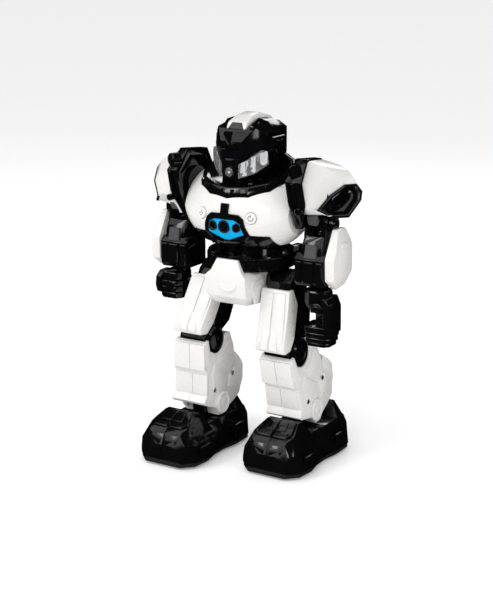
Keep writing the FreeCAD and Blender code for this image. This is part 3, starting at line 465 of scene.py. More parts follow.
def head_details():
    """Brow plates, a black facet painted on the crest's front as the shade of its notch, visor, cheek lenses
    over reflectors, nose block and its lamp.
    """
    forward, aside, ahead = (0, -1, 0.3), (0.7, -0.7, 0), (0, -1, 0)
    brow = facet_pair([(0, -17, 263.6), (8.4, -13.8, 263.2), (10.2, -15, 260.2), (0, -20.6, 254.8)],
                      1.2, forward, 0.6, 3)
    brow += facet_pair([
        (0, -20.8, 250.2), (0, -21, 254.6), (11.6, -14.2, 262), (16.5, -9, 264.6), (20.4, -4.5, 261.5),
        (20.6, -5, 256.5), (11.5, -14.8, 253),
    ], 1.4, forward, 0.7, 4)
    brow += facet_pair([
        (10.2, -9.5, 267.6), (9.6, 4, 272.4), (18, 6, 269.8), (23.2, 6, 262.5), (22.4, -3, 261.5),
        (17, -8, 264),
    ], 0.9, (0.5, -0.3, 1), 0.6, 3)
    temple = [(0, 259.5), (18, 259.5), (21, 250), (17, 243.5), (4, 243.5), (-1, 249)]
    brow += facet_pair(at_x(24.2, temple), 1.2, (1, 0, 0), 0.7)
    temple = [(4, 256.5), (14, 256.5), (16, 250), (13, 246), (6, 246), (3, 250)]
    brow += facet_pair(at_x(25.2, temple), 1, (1, 0, 0), 0.5)
    for step in range(3):
        y = -4.6 + 0.5 * step
        z = 253.5 - 3.4 * step
        brow += facet_pair([(21.4, y, z), (24.3, y + 4.5, z), (24.3, y + 4.5, z - 2.4), (21.4, y, z - 2.4)],
                           1.1, (0.8, -0.6, 0), 0.4, 2)
    # Painted shade: the crest's notch is not cut, and a black facet on the crest's front stands in for the
    # shade inside it.
    notch_shade = [surface("helmet_crest helmet_shell", (x, -60, z), (0, 1, 0))[0]
              for x, z in ((-6.8, 265.4), (6.8, 265.4), (4.2, 270), (-4.2, 270))]
    notch_shade = facet(notch_shade, 0.5, (0, -1, 0.5), 0.4, 1.5)
    detail("crest_notch_shade", [notch_shade], "satin_black", "head", "black_shell")
    detail("brow_plates", brow, "black_shell", "head")

    visor = facet_pair([
        (0, -20.2, 243.5), (0, -20.4, 250.4), (11.5, -15, 253.6), (19.6, -6.6, 256), (21, -4.4, 250.5),
        (17.6, -9.4, 248.6), (12, -15.6, 244.6), (7, -19.4, 242), (4, -20.6, 243.6),
    ], 0.5, forward, 0.5, 5)
    detail("visor", visor, "dark_lens", "head")

    outline = [
        (7.4, 229.2), (7.4, 240), (12.8, 243.6), (20.2, 250.4), (23.6, 249.2), (24.4, 239.6), (17.4, 233),
    ]
    inner_x = 7.6

    def cheek_point(x, z, depth=0):
        """A point of the left cheek's slanted plane, or depth behind it."""
        slope = Vector((13, 12.6, 0)).normalized()
        inwards = Vector((-slope.y, slope.x, 0))
        return Vector((7, -21.8, 0)) + slope * ((x - 7) / slope.x) + Vector((0, 0, z)) + inwards * depth

    def low_edge(x):
        """Height of the reflectors' lower edge, stepped up towards the cheek's outer end."""
        return 229.9 + 0.42 * (x - inner_x) + (1.6 if x > 19 else 0) + (2.2 if x > 23 else 0)

    def high_edge(x):
        """Height of the reflectors' upper edge."""
        return 239.4 + 0.72 * (x - inner_x) - (1.8 if x > 23 else 0)

    cheeks = facet_pair([cheek_point(x, z) for x, z in outline], 0.9, aside, 0.5, 0.2)
    frames = facet_pair([cheek_point(x, z, 1.2) for x, z in outline], 0.4, aside, 0.3, 7)
    silver = []
    columns = ((7.9, 11, -1.6), (11, 13.4, 1.4), (13.4, 17, -1), (17, 19.6, 1.8), (19.6, 23.6, -1))
    for index, (near, far_x, lean) in enumerate(columns):
        low, high = low_edge(near), high_edge(near)
        middle = (low + high) / 2 + lean
        near_depth, far_depth = (0.15, 0.75) if index % 2 else (0.8, 0.2)
        for bottom, bottom_far, top, top_far, tilt in (
            (low, low_edge(far_x), middle, middle + 1.6, 0.5),
            (middle, middle + 1.6, high, high_edge(far_x), -0.1),
        ):
            silver += facet_pair([
                cheek_point(near, bottom, near_depth + tilt), cheek_point(near, top, near_depth),
                cheek_point(far_x, top_far, far_depth), cheek_point(far_x, bottom_far, far_depth + tilt),
            ], 0.1, aside, 0.1, 0.4)
    lenses = detail("cheek_lens_pair", cheeks, "clear_lens", "head")
    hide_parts("cheek_lenses")
    detail("cheek_reflectors", silver, "reflector", "head", "clear_lens")
    detail("cheek_backs", frames, "black_shell", "head")

    lamp = Vector((0, -21.6, 234))
    sides = [
        (-3.6, 8), (3.6, 8), (6.2, 3.6), (6.4, -3.5), (4.6, -7.2), (-4.6, -7.2), (-6.4, -3.5), (-6.2, 3.6),
    ]
    bridge = [(-2.6, 2.4), (2.6, 2.4), (4, -1.8), (-4, -1.8)]
    nose = [
        plate(plane_at((0, -21.4, 236), ahead), sides, 0.9, 0.5, 2),
        plate(plane_at((0, -22.2, 241.2), ahead), bridge, 0.9, 0.6),
        lathe([(4.9, -1), (4.9, 0.9), (4.5, 1.3), (3.7, 1.3), (3.5, 0.8), (3.5, -1)], lamp, ahead, 36),
    ]
    detail("nose_block", nose, "black_shell", "head")
    bowl = [(3.6, -0.6), (3.6, 0.75), (3.1, 0.3), (1.4, 0.15), (0.9, 0.7), (0.3, 0.8)]
    detail("lamp_reflector", [lathe(bowl, lamp, ahead, 12)], "reflector", "head", "clear_lens")
    glass = [(3.5, 0.5), (3.5, 1), (2.9, 1.5), (1.9, 1.75), (0.6, 1.85)]
    dome = detail("lamp_dome", [lathe(glass, lamp, ahead, 36)], "clear_lens", "head")
    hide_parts("nose_lamp")


# ---------------- collar


def collar():
    """Tilted collar with the head's well, clips on its rim and one grey spot."""
    centre = Vector((0, 8, 229))
    lean = radians(20)
    along = Vector((0, cos(lean), sin(lean)))
    normal = Vector((0, -sin(lean), cos(lean)))
    count = 14
    turns = [tau * (step + 0.5) / count for step in range(count)]

    def tilted(turn, half_width, half_depth, height):
        """A point of an oval round the collar's tilted middle."""
        return (centre + Vector((1, 0, 0)) * half_width * cos(turn)
                + along * half_depth * sin(turn) + normal * height)

    def rim(half_width, half_depth, height, back_drop):
        """A tilted oval ring that sinks by back_drop towards its back."""
        return [tilted(turn, half_width, half_depth, height - back_drop * (0.5 + 0.5 * sin(turn)))
                for turn in turns]

    def well(height=None):
        """A ring of the upright well: at a height, or just over the tilted plane."""
        ring = []
        for turn in turns:
            x, y = 23.4 * cos(turn), AXIS_Y + 23.4 * sin(turn)
            ring.append(Vector((x, y, height or 229 + (y - 8) * tan(lean) + 1.6)))
        return ring

    shape = lofted([
        rim(38.6, 37, -3.6, -2.6), rim(39.2, 37.4, -0.6, -0.8), rim(37, 33, 4.8, 1.4),
        rim(34.2, 30.4, 4.8, 1.4), rim(31.8, 28.8, 3.2, 0.6), well(), well(217.4),
    ])
    ring = new_object("collar_ring", shape, "black_shell", "torso")
    bevelled(ring, 0.7, 2, 20)
    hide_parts("neck_collar")

    def on_rim(degrees, height, out=1):
        """A point of the collar's outer wall."""
        return tilted(radians(degrees), 37.4 * out, 34.4 * out, height)

    def clip(turn, half, low, high, spread, rise, slope):
        """A facet on the rim's front wall, turn and half its width in degrees."""
        return facet([
            on_rim(turn - half, low, spread), on_rim(turn + half, low, spread),
            on_rim(turn + half, high, 0.995), on_rim(turn - half, high, 0.995),
        ], rise, on_rim(turn, 0) - centre, slope, 1.5)

    places = ((-118, 3.2), (-98, 1.6), (-84, 1.6), (-40, 3), (-140, 2.4), (-25, 2.4))
    clips = [clip(turn, half, 1.2, 4.4, 1.03, 0.8, 0.4) for turn, half in places]
    detail("collar_clips", clips, "black_shell", "torso")
    detail("collar_spot", [clip(-70, 3, 1.5, 4.2, 1.02, 0.7, 0.3)], "mark_grey", "torso", "black_shell")


# ---------------- chest


def chest_details():
    """Belly trim, button marks, lens rings, and the battery door's screws and grips."""
    trim = []
    for side in (1, -1):
        trim.append(draped("chest_shell sensor_bezel", sided(side, [
            (18.8, -45, 187.6), (33, -45, 187), (34.5, -45, 178.4), (6.5, -45, 178.4),
        ]), (0, 1, 0), 0.6, 1, 12, 6))
    lip = [(-14.5, 181.8), (14.5, 181.8), (11.8, 178.1), (-11.8, 178.1)]
    trim.append(draped("sensor_bezel chest_shell", at_y(-45, lip), (0, 1, 0), 0.6, 1, 16, 3))
    detail("belly_trim", trim, "black_shell", "torso")

    turn, rise = radians(16), radians(8.6)
    for side, label in ((1, "power_button"), (-1, "mode_button")):
        level = Vector((side * sin(turn), -cos(turn), 0))
        out = level * cos(rise) + Vector((0, 0, sin(rise)))
        middle, _ = surface(label, Vector((side * 21.5, -26.55, 201.3)) + out * 20, -out)
        if side > 0:
            outlines = [[(-0.25, 0.4), (0.25, 0.4), (0.25, 2.7), (-0.25, 2.7)]]
            steps = 22
            for index in range(steps):
                begin, end = [radians(90 + 290 * step / steps) for step in (index, index + 1)]
                corners = ((begin, 1.75), (end, 1.75), (end, 2.25), (begin, 2.25))
                outlines.append([(cos(angle) * radius, sin(angle) * radius) for angle, radius in corners])
        else:
            outlines = [[(u - 0.6, v), (u, v - 0.75), (u + 0.6, v), (u, v + 0.75)]
                        for u, v in ((0, 1.6), (0, -1.6), (1.3, 0), (-1.3, 0))]
        shapes = [plate(plane_at(middle, out), outline, 0.14, 0.03, 0.2) for outline in outlines]
        detail(f"{label}_mark", shapes, "mark_grey", f"{label}_cap", "button_white")

    rings = []
    for x, radius in ((0, 4.2), (-10, 3), (10, 3)):
        point, _ = surface("sensor_panel", (x + radius + 0.8, -80, 193.4), (0, 1, 0))
        rings.append(lathe([
            (radius + 0.9, -0.8), (radius + 0.9, 0.5), (radius + 0.5, 0.9), (radius - 0.3, 0.8),
            (radius - 0.9, 0.1), (radius - 0.9, -0.8),
        ], (x, point.y + 0.2, 193.4), (0, -1, 0), 36))
    detail("lens_rings", rings, "satin_black", "torso", "dark_lens")

    screws = [screw(*surface("battery_door", (x, 90, 187.5), (0, -1, 0)), 1.7) for x in (-19, 19)]
    detail("door_screws", screws, "steel", "torso")
    grips = []
    for z in (203, 205.4, 207.8):
        quad = at_y(80, [(-7, z), (7, z), (7, z + 1.2), (-7, z + 1.2)])
        grips.append(draped("battery_door", quad, (0, -1, 0), 0.7, 0.5, 6, 1, 10))
    detail("door_grips", grips, "door_grey", "torso")


# ---------------- shoulders


PAD_RIM = [(-17, 213), (-22.5, 231), (-5, 246), (23, 243), (31, 230), (30, 208), (19, 195), (-5, 192.5)]
HOOD_RIM = {
    1: [(-17, 214), (-22.5, 231), (-5, 246), (23, 243), (31, 230), (30, 211), (19, 204), (-6, 203.5)],
    -1: PAD_RIM,
}
PAD_MIDDLE = {
    1: [(-23, -2.4), (-20.5, 14), (-3, 26.5), (18, 24.5), (25, 14), (24.5, -1), (12.5, -10.5), (-9.5, -10)],
    -1: [(-23, -4.4), (-20.5, 14), (-3, 26.5), (18, 24.5), (25, 14), (24.5, -2.5), (12.5, -16), (-8.5, -16)],
}
SCOOP_EDGE = {
    1: [(64.5, -3.5, 206.8), (71, 6, 218.4), (78, 16, 225.6), (84.8, 22.4, 226), (90.4, 21.4, 221),
        (90.8, 19, 214.6), (85.6, 9.6, 202.6), (74.4, 3.6, 201.6)],
    -1: [(74.5, -9.5, 206.5), (78, -9, 218.5), (81.5, 1, 227.5), (85.6, 13, 229.8), (90.2, 21, 223.6),
         (90.8, 20, 213), (88.4, 11, 202.8), (80, -3, 201)],
}


def shoulder_pad(side, word):
    """White hood from the frame out to the scoop's edge, and the dark scoop set into its outer end."""
    arm = f"upper_arm_{word}"
    frame_x = 52.2
    turn = radians(75)
    rim = [Vector(point) for point in at_x(side * frame_x, PAD_RIM)]
    hood_rim = [Vector(point) for point in at_x(side * frame_x, HOOD_RIM[side])]
    middle = [Vector((side * (66 + u * cos(turn)), 7 + u * sin(turn), 214 + v))
              for u, v in PAD_MIDDLE[side]]
    edge = [Vector(point) for point in sided(side, SCOOP_EDGE[side])]
    centre = sum(rim, Vector()) / len(rim)
    heart = sum(edge, Vector()) / len(edge)
    out = Vector((0.80, -0.57, 0.08) if side > 0 else (-0.94, -0.33, 0.08)).normalized()

    def scaled(factor, depth):
        """The scoop's edge drawn towards its middle and sunk."""
        return [heart + (point - heart) * factor - out * depth for point in edge]

    def drawn(points, factor, shift, reach=(0,) * len(rim)):
        """A rim drawn towards the frame's middle, each point moved out by the shift and its reach."""
        return [centre + (point - centre) * factor + Vector((side * (far + shift), 0, 0))
                for point, far in zip(points, reach)]

    rings = [drawn(hood_rim, 0.955, 0), drawn(hood_rim, 0.955, 4.5),
             [a.lerp(b, 0.5) + (b - a).normalized() * 0.2 for a, b in zip(hood_rim, middle)], middle]
    for part in (0.35, 0.68):
        rings.append([a.lerp(b, part) + Vector((side * 1.6, -0.5, 1.5)) * sin(pi * part)
                      for a, b in zip(middle, edge)])
    rings += [scaled(1, 0.8), scaled(0.96, 1), scaled(0.86, 9)]
    hood = new_object(f"hood_{word}", lofted(rings), "white_shell", arm)
    bevelled(hood, 1.6, 3, 20)
    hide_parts(f"shoulder_shell_{word}")
    reach = ((8.8, 8.5, 4.5) if side > 0 else (4.2, 3.6, 2.4)) + (2, 2, 2, 0.5, 0.5)
    tube = [drawn(rim, 1, -2), drawn(rim, 1, 0, reach), drawn(rim, 0.985, 1.2, reach),
            drawn(rim, 0.90, 0.8, reach), drawn(rim, 0.90, -1)]
    detail(f"pad_band_{word}", [lofted(tube)], "black_shell", arm, rounding=0.5)
    # Painted shade: a dark plate on the hood's closed inner end, facing the torso, stands in for the shade of
    # the hood's hollow.
    hollow_shade = facet(drawn(hood_rim, 0.92, 0), 1.6, (-side, 0, 0), 0.6, 0.5)
    detail(f"hood_hollow_shade_{word}", [hollow_shade], "satin_black", arm, "black_shell")

    shape = lofted([
        scaled(0.90, 7), scaled(1, 2.2), scaled(1.02, 0.4), scaled(0.985, -0.4), scaled(0.84, -0.2),
        scaled(0.80, 0.6), scaled(0.68, 6), scaled(0.3, 6.6),
    ])
    scoop = new_object(f"scoop_{word}", shape, "black_shell", arm)
    bevelled(scoop, 0.4, 2, 26)
    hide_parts(f"shoulder_flare_{word}")
    ribs = []
    for low, high in ((0.30, 0.42), (0.56, 0.66)):
        corners = [edge[1].lerp(edge[6], low), edge[3].lerp(edge[5], low), edge[3].lerp(edge[5], high),
                   edge[1].lerp(edge[6], high)]
        corners = [heart + (corner - heart) * 0.62 - out * 5.4 for corner in corners]
        ribs.append(facet(corners, 1, out, 0.5, 2))
    detail(f"scoop_ribs_{word}", ribs, "black_shell", arm)


def pad_details(side, word):
    """The hinge knob, its ring and the lower screw in front of a shoulder frame."""
    shapes = []
    for x, y, z, radius, aside in ((53, -16.4, 238.4, 5.2, 0.5), (57, -15.4, 208.4, 2.7, 0)):
        shapes.append(lathe([
            (radius, -3.2), (radius, 3.3), (radius - 0.5, 3.8), (radius - 1, 3.8), (radius - 1.3, 3.2),
            (radius - 2, 3.2), (radius - 2.3, 3.7), (0.3, 3.9),
        ], (side * x, y, z), (side * aside, -1, 0), 28))
    strip = [(-19.5, 214), (-23.2, 229.5), (-15.5, 236), (-12, 231.5), (-15.8, 226), (-13, 214)]
    shapes.append(facet(at_x(side * 54.2, strip), 0.9, (side, 0, 0), 0.4, 1))
    detail(f"pad_hinge_{word}", shapes, "black_shell", f"upper_arm_{word}")


# ---------------- arms


def arm_details(side, word):
    """Elbow facet and forearm panel, cuff ridges, elbow disc ring and the white shell's raised panel."""
    forearm = f"forearm_{word}"
    front, out = (0, -1, 0.2), (side, 0, 0)
    elbow = facet(sided(side, [
        (57.6, -4.6, 203), (65.6, -4.6, 203), (66.2, -3.2, 199), (65, -2.4, 196), (58.4, -2.4, 196),
        (57.2, -3.2, 199),
    ]), 1.2, front, 0.8, 2)
    detail(f"elbow_facet_{word}", [elbow], "grey_panel", f"upper_arm_{word}", "black_shell")
    grey = facet(sided(side, [(57, -4.7, 181.4), (66, -4.7, 181.4), (66.6, -6.6, 171), (56.4, -6.6, 171)]),
                 1.1, front, 0.5, 2)
    detail(f"forearm_panel_{word}", [grey], "grey_panel", forearm, "black_shell")

    ridges = []
    for low_x, high_x, lift in ((49.6, 55.2, 0.9), (56.6, 65.4, 1.5), (66.8, 72.4, 0.9)):
        ridges.append(facet(sided(side, [
            (low_x + 0.6, -7.8, 168.6), (high_x - 0.6, -7.8, 168.6), (high_x, -7.9, 164),
            (high_x, -7.9, 155), (high_x - 0.8, -7.6, 151.6), (low_x + 0.8, -7.6, 151.6),
            (low_x, -7.9, 155), (low_x, -7.9, 164),
        ]), lift, (0, -1, 0), 0.7, 1))
        rear = [(low_x + 0.8, 166), (high_x - 0.8, 166), (high_x - 0.8, 153), (low_x + 0.8, 153)]
        ridges.append(facet(sided(side, at_y(20.8, rear)), 0.8, (0, 1, 0), 0.6, 1))
    for inner in ([(-5, 166), (5, 168), (5, 152), (-5, 153)], [(7, 168), (18, 166), (18, 153), (7, 152)]):
        ridges.append(facet(at_x(side * 49, inner), 0.8, (-side, 0, 0), 0.5, 1))
    detail(f"cuff_ridges_{word}", ridges, "black_shell", forearm)

    disc = lathe([
        (6, -1.5), (6, 0.6), (5.4, 1.1), (4.4, 1.1), (4, 0.6), (3.2, 0.6), (2.8, 1), (0.3, 1.1)
    ], (side * 74.2, 9, 196), out, 32)
    detail(f"elbow_ring_{word}", [disc], "black_shell", forearm)

    rim = [(-5.6, 171), (4.8, 190.4), (16, 190.4), (20.6, 181), (20.6, 161), (14.8, 151.4), (4, 149.6),
           (-4.6, 156.6)]
    smaller = 0.62
    panel = [(8 + (y - 8) * smaller, 170 + (z - 170) * smaller) for y, z in rim]
    guard = facet(at_x(side * 82, panel), 0.8, out, 0.8, 1)
    detail(f"guard_panel_{word}", [guard], "white_shell", forearm, rounding=0.3)


def layered(plan, levels, middle):
    """Stacked slabs of one plan outline: levels gives (low, high, size) for each."""
    shapes = []
    for low, high, scale in levels:
        shapes.append(lofted([
            [(middle[0] + (x - middle[0]) * f, middle[1] + (y - middle[1]) * f, z) for x, y in plan]
            for z, f in ((low, scale * 0.95), (low + 0.7, scale), (high - 0.7, scale), (high, scale * 0.96))
        ]))
    return shapes


def grip_hand():
    """Left hand: wrist cup, outer palm, thumb block, and four fingers stacked below an open grip."""
    fingers = [(55.4, -3), (59, -8.8), (75, -8.8), (79.6, -3.6), (79.6, 9), (74.6, 14.6), (60.4, 14.6),
               (55.4, 10)]
    shapes = layered(fingers, [
        (114.2, 118.8, 1), (110, 113.9, 0.985), (106, 109.7, 0.94), (102.6, 105.7, 0.84)], (68, 3))
    palm = [(74.6, -7.4, 141), (74.6, 13, 141), *at_x(77.4, [(14, 133), (14, 112), (-8.2, 112), (-8.2, 133)])]
    back = [(78.6, -7.5, 137), (78.6, 1, 137), *at_x(78.9, [(3, 126), (-2, 120), (-8, 122)])]
    thumb = at_y(-8.2, [(63.2, 129.8), (63.2, 136.4), (70.4, 137.6), (73.6, 134), (72.8, 129.6)])
    nail = at_y(-8.8, [(65, 131.2), (65, 135.2), (69.8, 135.8), (71.6, 133.4), (71, 131)])
    shapes += [
        lathe([(9.2, 131.5), (10.8, 136.5), (10.8, 143.6), (9.8, 146.2), (7.2, 146.6), (6.9, 143)],
              (64.6, 2.8, 0), (0, 0, 1), 10),
        facet(palm, 1.4, (1, 0, 0), 1, 3.4),
        facet(back, 1, (1, 0, 0), 0.7, 2),
        facet(thumb, 0.8, (0, -1, 0), 1, 5.5),
        facet(nail, 0.9, (0, -1, 0), 0.7, 2),
        facet(at_x(56.6, [(2, 134), (13, 134), (13.6, 129.6), (2, 129.6)]), 0.8, (-1, 0, 0), 0.6, 8),
        facet([(58, 12.2, 137), (76, 12.2, 137), (76, 13.2, 112), (58, 13.2, 112)], 1, (0, 1, 0), 0.8, 2.6),
        lathe([(6, 138), (6, 159.8)], (62, 7, 0), (0, 0, 1), 24),
    ]
    hand = new_object("grip_hand", merged(shapes), "black_shell", "hand_left_body")
    bevelled(hand, 0.4, 2, 28)
    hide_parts("hand_left")


def fist_hand():
    """Right hand: closed fist, fingers stacked under the palm, with a rounded knuckle guard outside."""
    fingers = [(-54.6, -5), (-58.6, -9.8), (-71.5, -9.8), (-76.2, -5), (-76.2, 11), (-72, 17), (-59.4, 17),
               (-54.6, 11.6)]
    shapes = layered(fingers, [
        (123.4, 128.4, 0.93), (128.8, 133.4, 1), (133.8, 138, 0.985), (138.3, 144.6, 0.86)], (-65.4, 3.4))
    guard = [(-7.5, 127.5), (-9.6, 133), (-8.4, 140.5), (-3, 144.6), (6, 144.6), (12, 140), (13.5, 132),
             (8, 126.6), (-2, 125.4)]
    knuckle = [(-58.4, 136.2), (-64, 138.6), (-69, 136.2), (-67, 131.6), (-60, 131.6)]
    shapes += [
        facet(at_x(-76.4, guard), 2.4, (-1, 0, 0), 1.4, 3),
        facet(at_y(-9.6, knuckle), 0.7, (0, -1, 0), 0.6, 3),
        lathe([(6, 139), (6, 159.8)], (-62, 7, 0), (0, 0, 1), 24),
    ]
    fist = new_object("fist_hand", merged(shapes), "black_shell", "hand_right_body")
    bevelled(fist, 0.4, 2, 28)
    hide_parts("hand_right")


# ---------------- pelvis and waist


def pelvis_details():
    """Side panels, the plain round badge and the apron above it."""
    panel = [
        (-20, 145), (-16.5, 149.5), (-3, 149.5), (0.4, 146), (0.4, 134), (-5, 131), (-14, 131), (-16, 138),
    ]
    sides = [facet(at_x(side * 17.9, panel), 0.55, (side, 0, 0), 0.5, 1) for side in (1, -1)]
    detail("pelvis_side_panels", sides, "white_shell", "pelvis")
    disc = plane_at((2.5, -28.6, 150), (0, -1, 0.18))
    turns = [tau * step / 28 for step in range(28)]
    ring = [(8.2 * cos(turn), 7.4 * sin(turn)) for turn in turns]
    badge = plate(disc, ring, 0.55, 0.35, 1.4)
    flat = plane_at((0, -28.2, 152.2), (0, -1, 0.22))
    apron = [(-8.8, 13.6), (8.8, 13.6), (12.6, 5.5), (14.6, 1.5), (-14.6, 1.5), (-12.6, 5.5)]
    plates = [badge, plate(flat, apron, 0.7, 0.5, 2)]
    detail("pelvis_plates", plates, "white_shell", "pelvis", rounding=0.25)


def ring_facet(turn, radius, height, corners, rise, slope, sink):
    """A facet facing out from the waist's axis; corners are (sideways, up) pairs about its middle."""
    out = Vector((cos(turn), sin(turn), 0))
    across = Vector((-out.y, out.x, 0))
    centre = Vector((0, AXIS_Y, height)) + out * radius
    return facet([centre + across * u + Vector((0, 0, v)) for u, v in corners], rise, out, slope, sink)


def waist_details():
    """Struts between the chest and the waist ring, facets round the ring, and a grey spot on each tab."""
    struts = []
    for step in range(14):
        turn = radians(180 + 180 * (step + 0.5) / 14)
        lean = 3.2 if step % 2 else -3.2
        corners = [(-1.6 + lean, 4.8), (1.6 + lean, 4.8), (1.6 - lean, 0.6), (-1.6 - lean, 0.6)]
        struts.append(ring_facet(turn, 30.5, 173.4, corners, 1, 0.5, 2.5))
    detail("waist_struts", struts, "black_shell", "torso")

    facets = []
    radius = 34.3
    for step in range(20):
        turn = tau * (step + 0.5) / 20
        x, y = radius * cos(turn), AXIS_Y + radius * sin(turn)
        under_tab = abs(cos(turn)) > 0.93
        behind_apron = y < -16.0 and abs(x) < 15
        if not under_tab and not behind_apron:
            corners = [(4.4, 4.2), (-4.4, 4.2), (-3.2, -4.8), (3.2, -4.8)]
            facets.append(ring_facet(turn, radius, 163, corners, 0.9, 0.7, 1.2))
    detail("ring_facets", facets, "black_shell", "pelvis")
    spot = [(14.5, 173), (21, 173), (21, 169.5), (14.5, 169.5)]
    spots = [facet(at_x(side * 36.5, spot), 0.4, (side, 0, 0), 0.2, 0.5) for side in (1, -1)]
    detail("ring_spots", spots, "grey_panel", "pelvis", "black_shell")


# ---------------- legs and feet


def leg_point(side, x, y, z):
    """A point of a leg's own frame, which has the hip axis at y = z = 0, in the robot's frame."""
    swing = radians(REST_SWING) * side
    return Vector((side * x, AXIS_Y + y * cos(swing) - z * sin(swing),
                   HIP_Z + y * sin(swing) + z * cos(swing)))


def leg_points(side, *points):
    """Several leg_point results in order."""
    return [leg_point(side, *point) for point in points]


def thigh_details(side, word):
    """Two long raised panels with the seam between them, and a knee panel low down."""
    shapes = []
    for (top_in, top_out), (low_in, low_out) in (((20.6, 30.6), (23.4, 33.4)), ((31.4, 41.4), (34.2, 45.6))):
        corners = leg_points(side, (top_in, -19.2, -3), (top_out, -19.2, -3), (low_out, -36.4, -40),
                             (low_in, -36.4, -40))
        shapes.append(facet(corners, 0.9, (0, -1, 0.3), 0.6, 2))
    for near, far_x, low_near, low_far in ((28.2, 33.5, 26.4, 33.5), (34.1, 39.6, 34.1, 41.6)):
        corners = leg_points(
            side, (near, -31, -29.5), (far_x, -31, -29.5), (low_far, -37, -41),
            (low_far, -37.4, -44.6), (low_near, -37.4, -44.6), (low_near, -37, -41))
        shapes.append(facet(corners, 1.7, (0, -1, 0.2), 0.9, 2))
    detail(f"thigh_panels_{word}", shapes, "white_shell", f"leg_{word}", rounding=0.25)


def knee_details(side, word):
    """Dished glossy knee discs with a centre hole and two seams."""
    shapes = []
    for x, out in ((23.9, -1), (46.8, 1)):
        centre = leg_point(side, x, -13.2, -53.3)
        axis = Vector((side * out, 0, 0))
        shapes.append(lathe([
            (11.6, -1.5), (11.6, 1.3), (10.4, 2.6), (8.8, 2.2), (6.5, 2.6), (2.4, 3.1), (1.7, 2.7),
            (1.5, 1.2), (0.4, 1.2),
        ], centre, axis, 40))
        for turn in (0.25, 3):
            way = Vector((0, cos(turn), sin(turn)))
            across = Vector((0, -sin(turn), cos(turn)))
            corners = ((2.5, 2.6, 0.35), (1.9, 9.6, 0.35), (1.9, 9.6, -0.35), (2.5, 2.6, -0.35))
            shapes.append(facet([centre + axis * a + way * b + across * c for a, b, c in corners],
                                0.55, axis, 0.15, 1))
    discs = detail(f"knee_discs_{word}", shapes, "black_shell", f"leg_{word}")
    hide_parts(f"knee_caps_{word}")


def shin_details(side, word):
    """Guard band and lower plate in front, calf plates, screws and round ankle covers at the sides."""
    leg = f"leg_{word}"
    plates, ankle, screws = [], [], []
    for near, far_x, wide in ((21.4, 34.95, 0), (35.3, 48.8, 1.6)):
        band = leg_points(side, (near, -30.6, -55.4), (far_x, -30.6, -55.4), (far_x + wide, -27.6, -76.4),
                          (near, -27.6, -76.4))
        low = leg_points(side, (near, -24.5, -80.6), (far_x, -24.5, -80.6), (far_x + wide, -22.6, -97.6),
                         (near, -22.6, -97.6))
        plates += [facet(band, 1.7, (0, -1, 0), 0.3, 2), facet(low, 0.7, (0, -1, 0), 0.25, 2)]
    outlines = (
        [(4, -55), (11, -60), (15, -74), (8, -82), (-6, -74), (-12, -68), (-4, -64)],
        [(-14, -72), (-7, -77), (6, -86), (4, -97), (-14, -98), (-18, -80)],
        [(9, -86), (17, -80), (20, -90), (15, -98), (8, -95)],
    )
    for node, out, cover_x in ((f"shin_inner_{word}", -1, 20.2), (f"shin_outer_{word}", 1, 53.4)):
        way = Vector((side * out, 0, 0))

        def wall(y, z):
            """Point and normal of the shin's side wall."""
            return surface(node, leg_point(side, 35, y, z) + way * 60, -way)

        for outline in outlines:
            plates.append(facet([wall(y, z)[0] for y, z in outline], 0.9, way, 0.7, 1.2))
        for y, z in ((13.5, -84.5), (-12.5, -94.5)):
            screws.append(screw(wall(y, z)[0] + way * 0.8, way, 2))
        middle = leg_point(side, cover_x, 0, -ANKLE_DROP)
        ankle.append(lathe([
            (9.2, -3.6), (9.2, 0.7), (8.4, 1.5), (6.6, 1.5), (6.2, 1.1), (3.4, 1.1), (3.1, 1.4), (0.3, 1.4)
        ], middle, way, 36))
    calf = [
        (22, -68), (30, -73.5), (36, -80), (37.2, -92), (35, -97.5), (29, -100.5), (18, -100.5), (14, -76),
    ]
    for levels in (((23.5, 2), (26, 0), (34.94, 0), (34.95, 0)), ((35.3, 0), (35.31, 0), (47, 0), (50.5, 2))):
        plates.append(lofted([leg_points(side, *[(x, y - back, z) for y, z in calf]) for x, back in levels]))
    detail(f"shin_plates_{word}", plates, "white_shell", leg, rounding=0.2)
    detail(f"shin_screws_{word}", screws, "steel", leg)
    detail(f"ankle_covers_{word}", ankle, "white_shell", leg, rounding=0.2)


def hewn(low, high, cuts):
    """A convex block cut down by planes, each a point and an outward direction."""
    shape = block(low, high)
    for point, outward in cuts:
        bmesh.ops.bisect_plane(
            shape, geom=shape.verts[:] + shape.edges[:] + shape.faces[:], dist=1e-7,
            plane_co=Vector(point) * MM, plane_no=Vector(outward).normalized(), clear_outer=True,
        )
        rim = [edge for edge in shape.edges if edge.is_boundary]
        if rim:
            bmesh.ops.edgeloop_fill(shape, edges=rim)
    bmesh.ops.recalc_face_normals(shape, faces=shape.faces)
    return shape


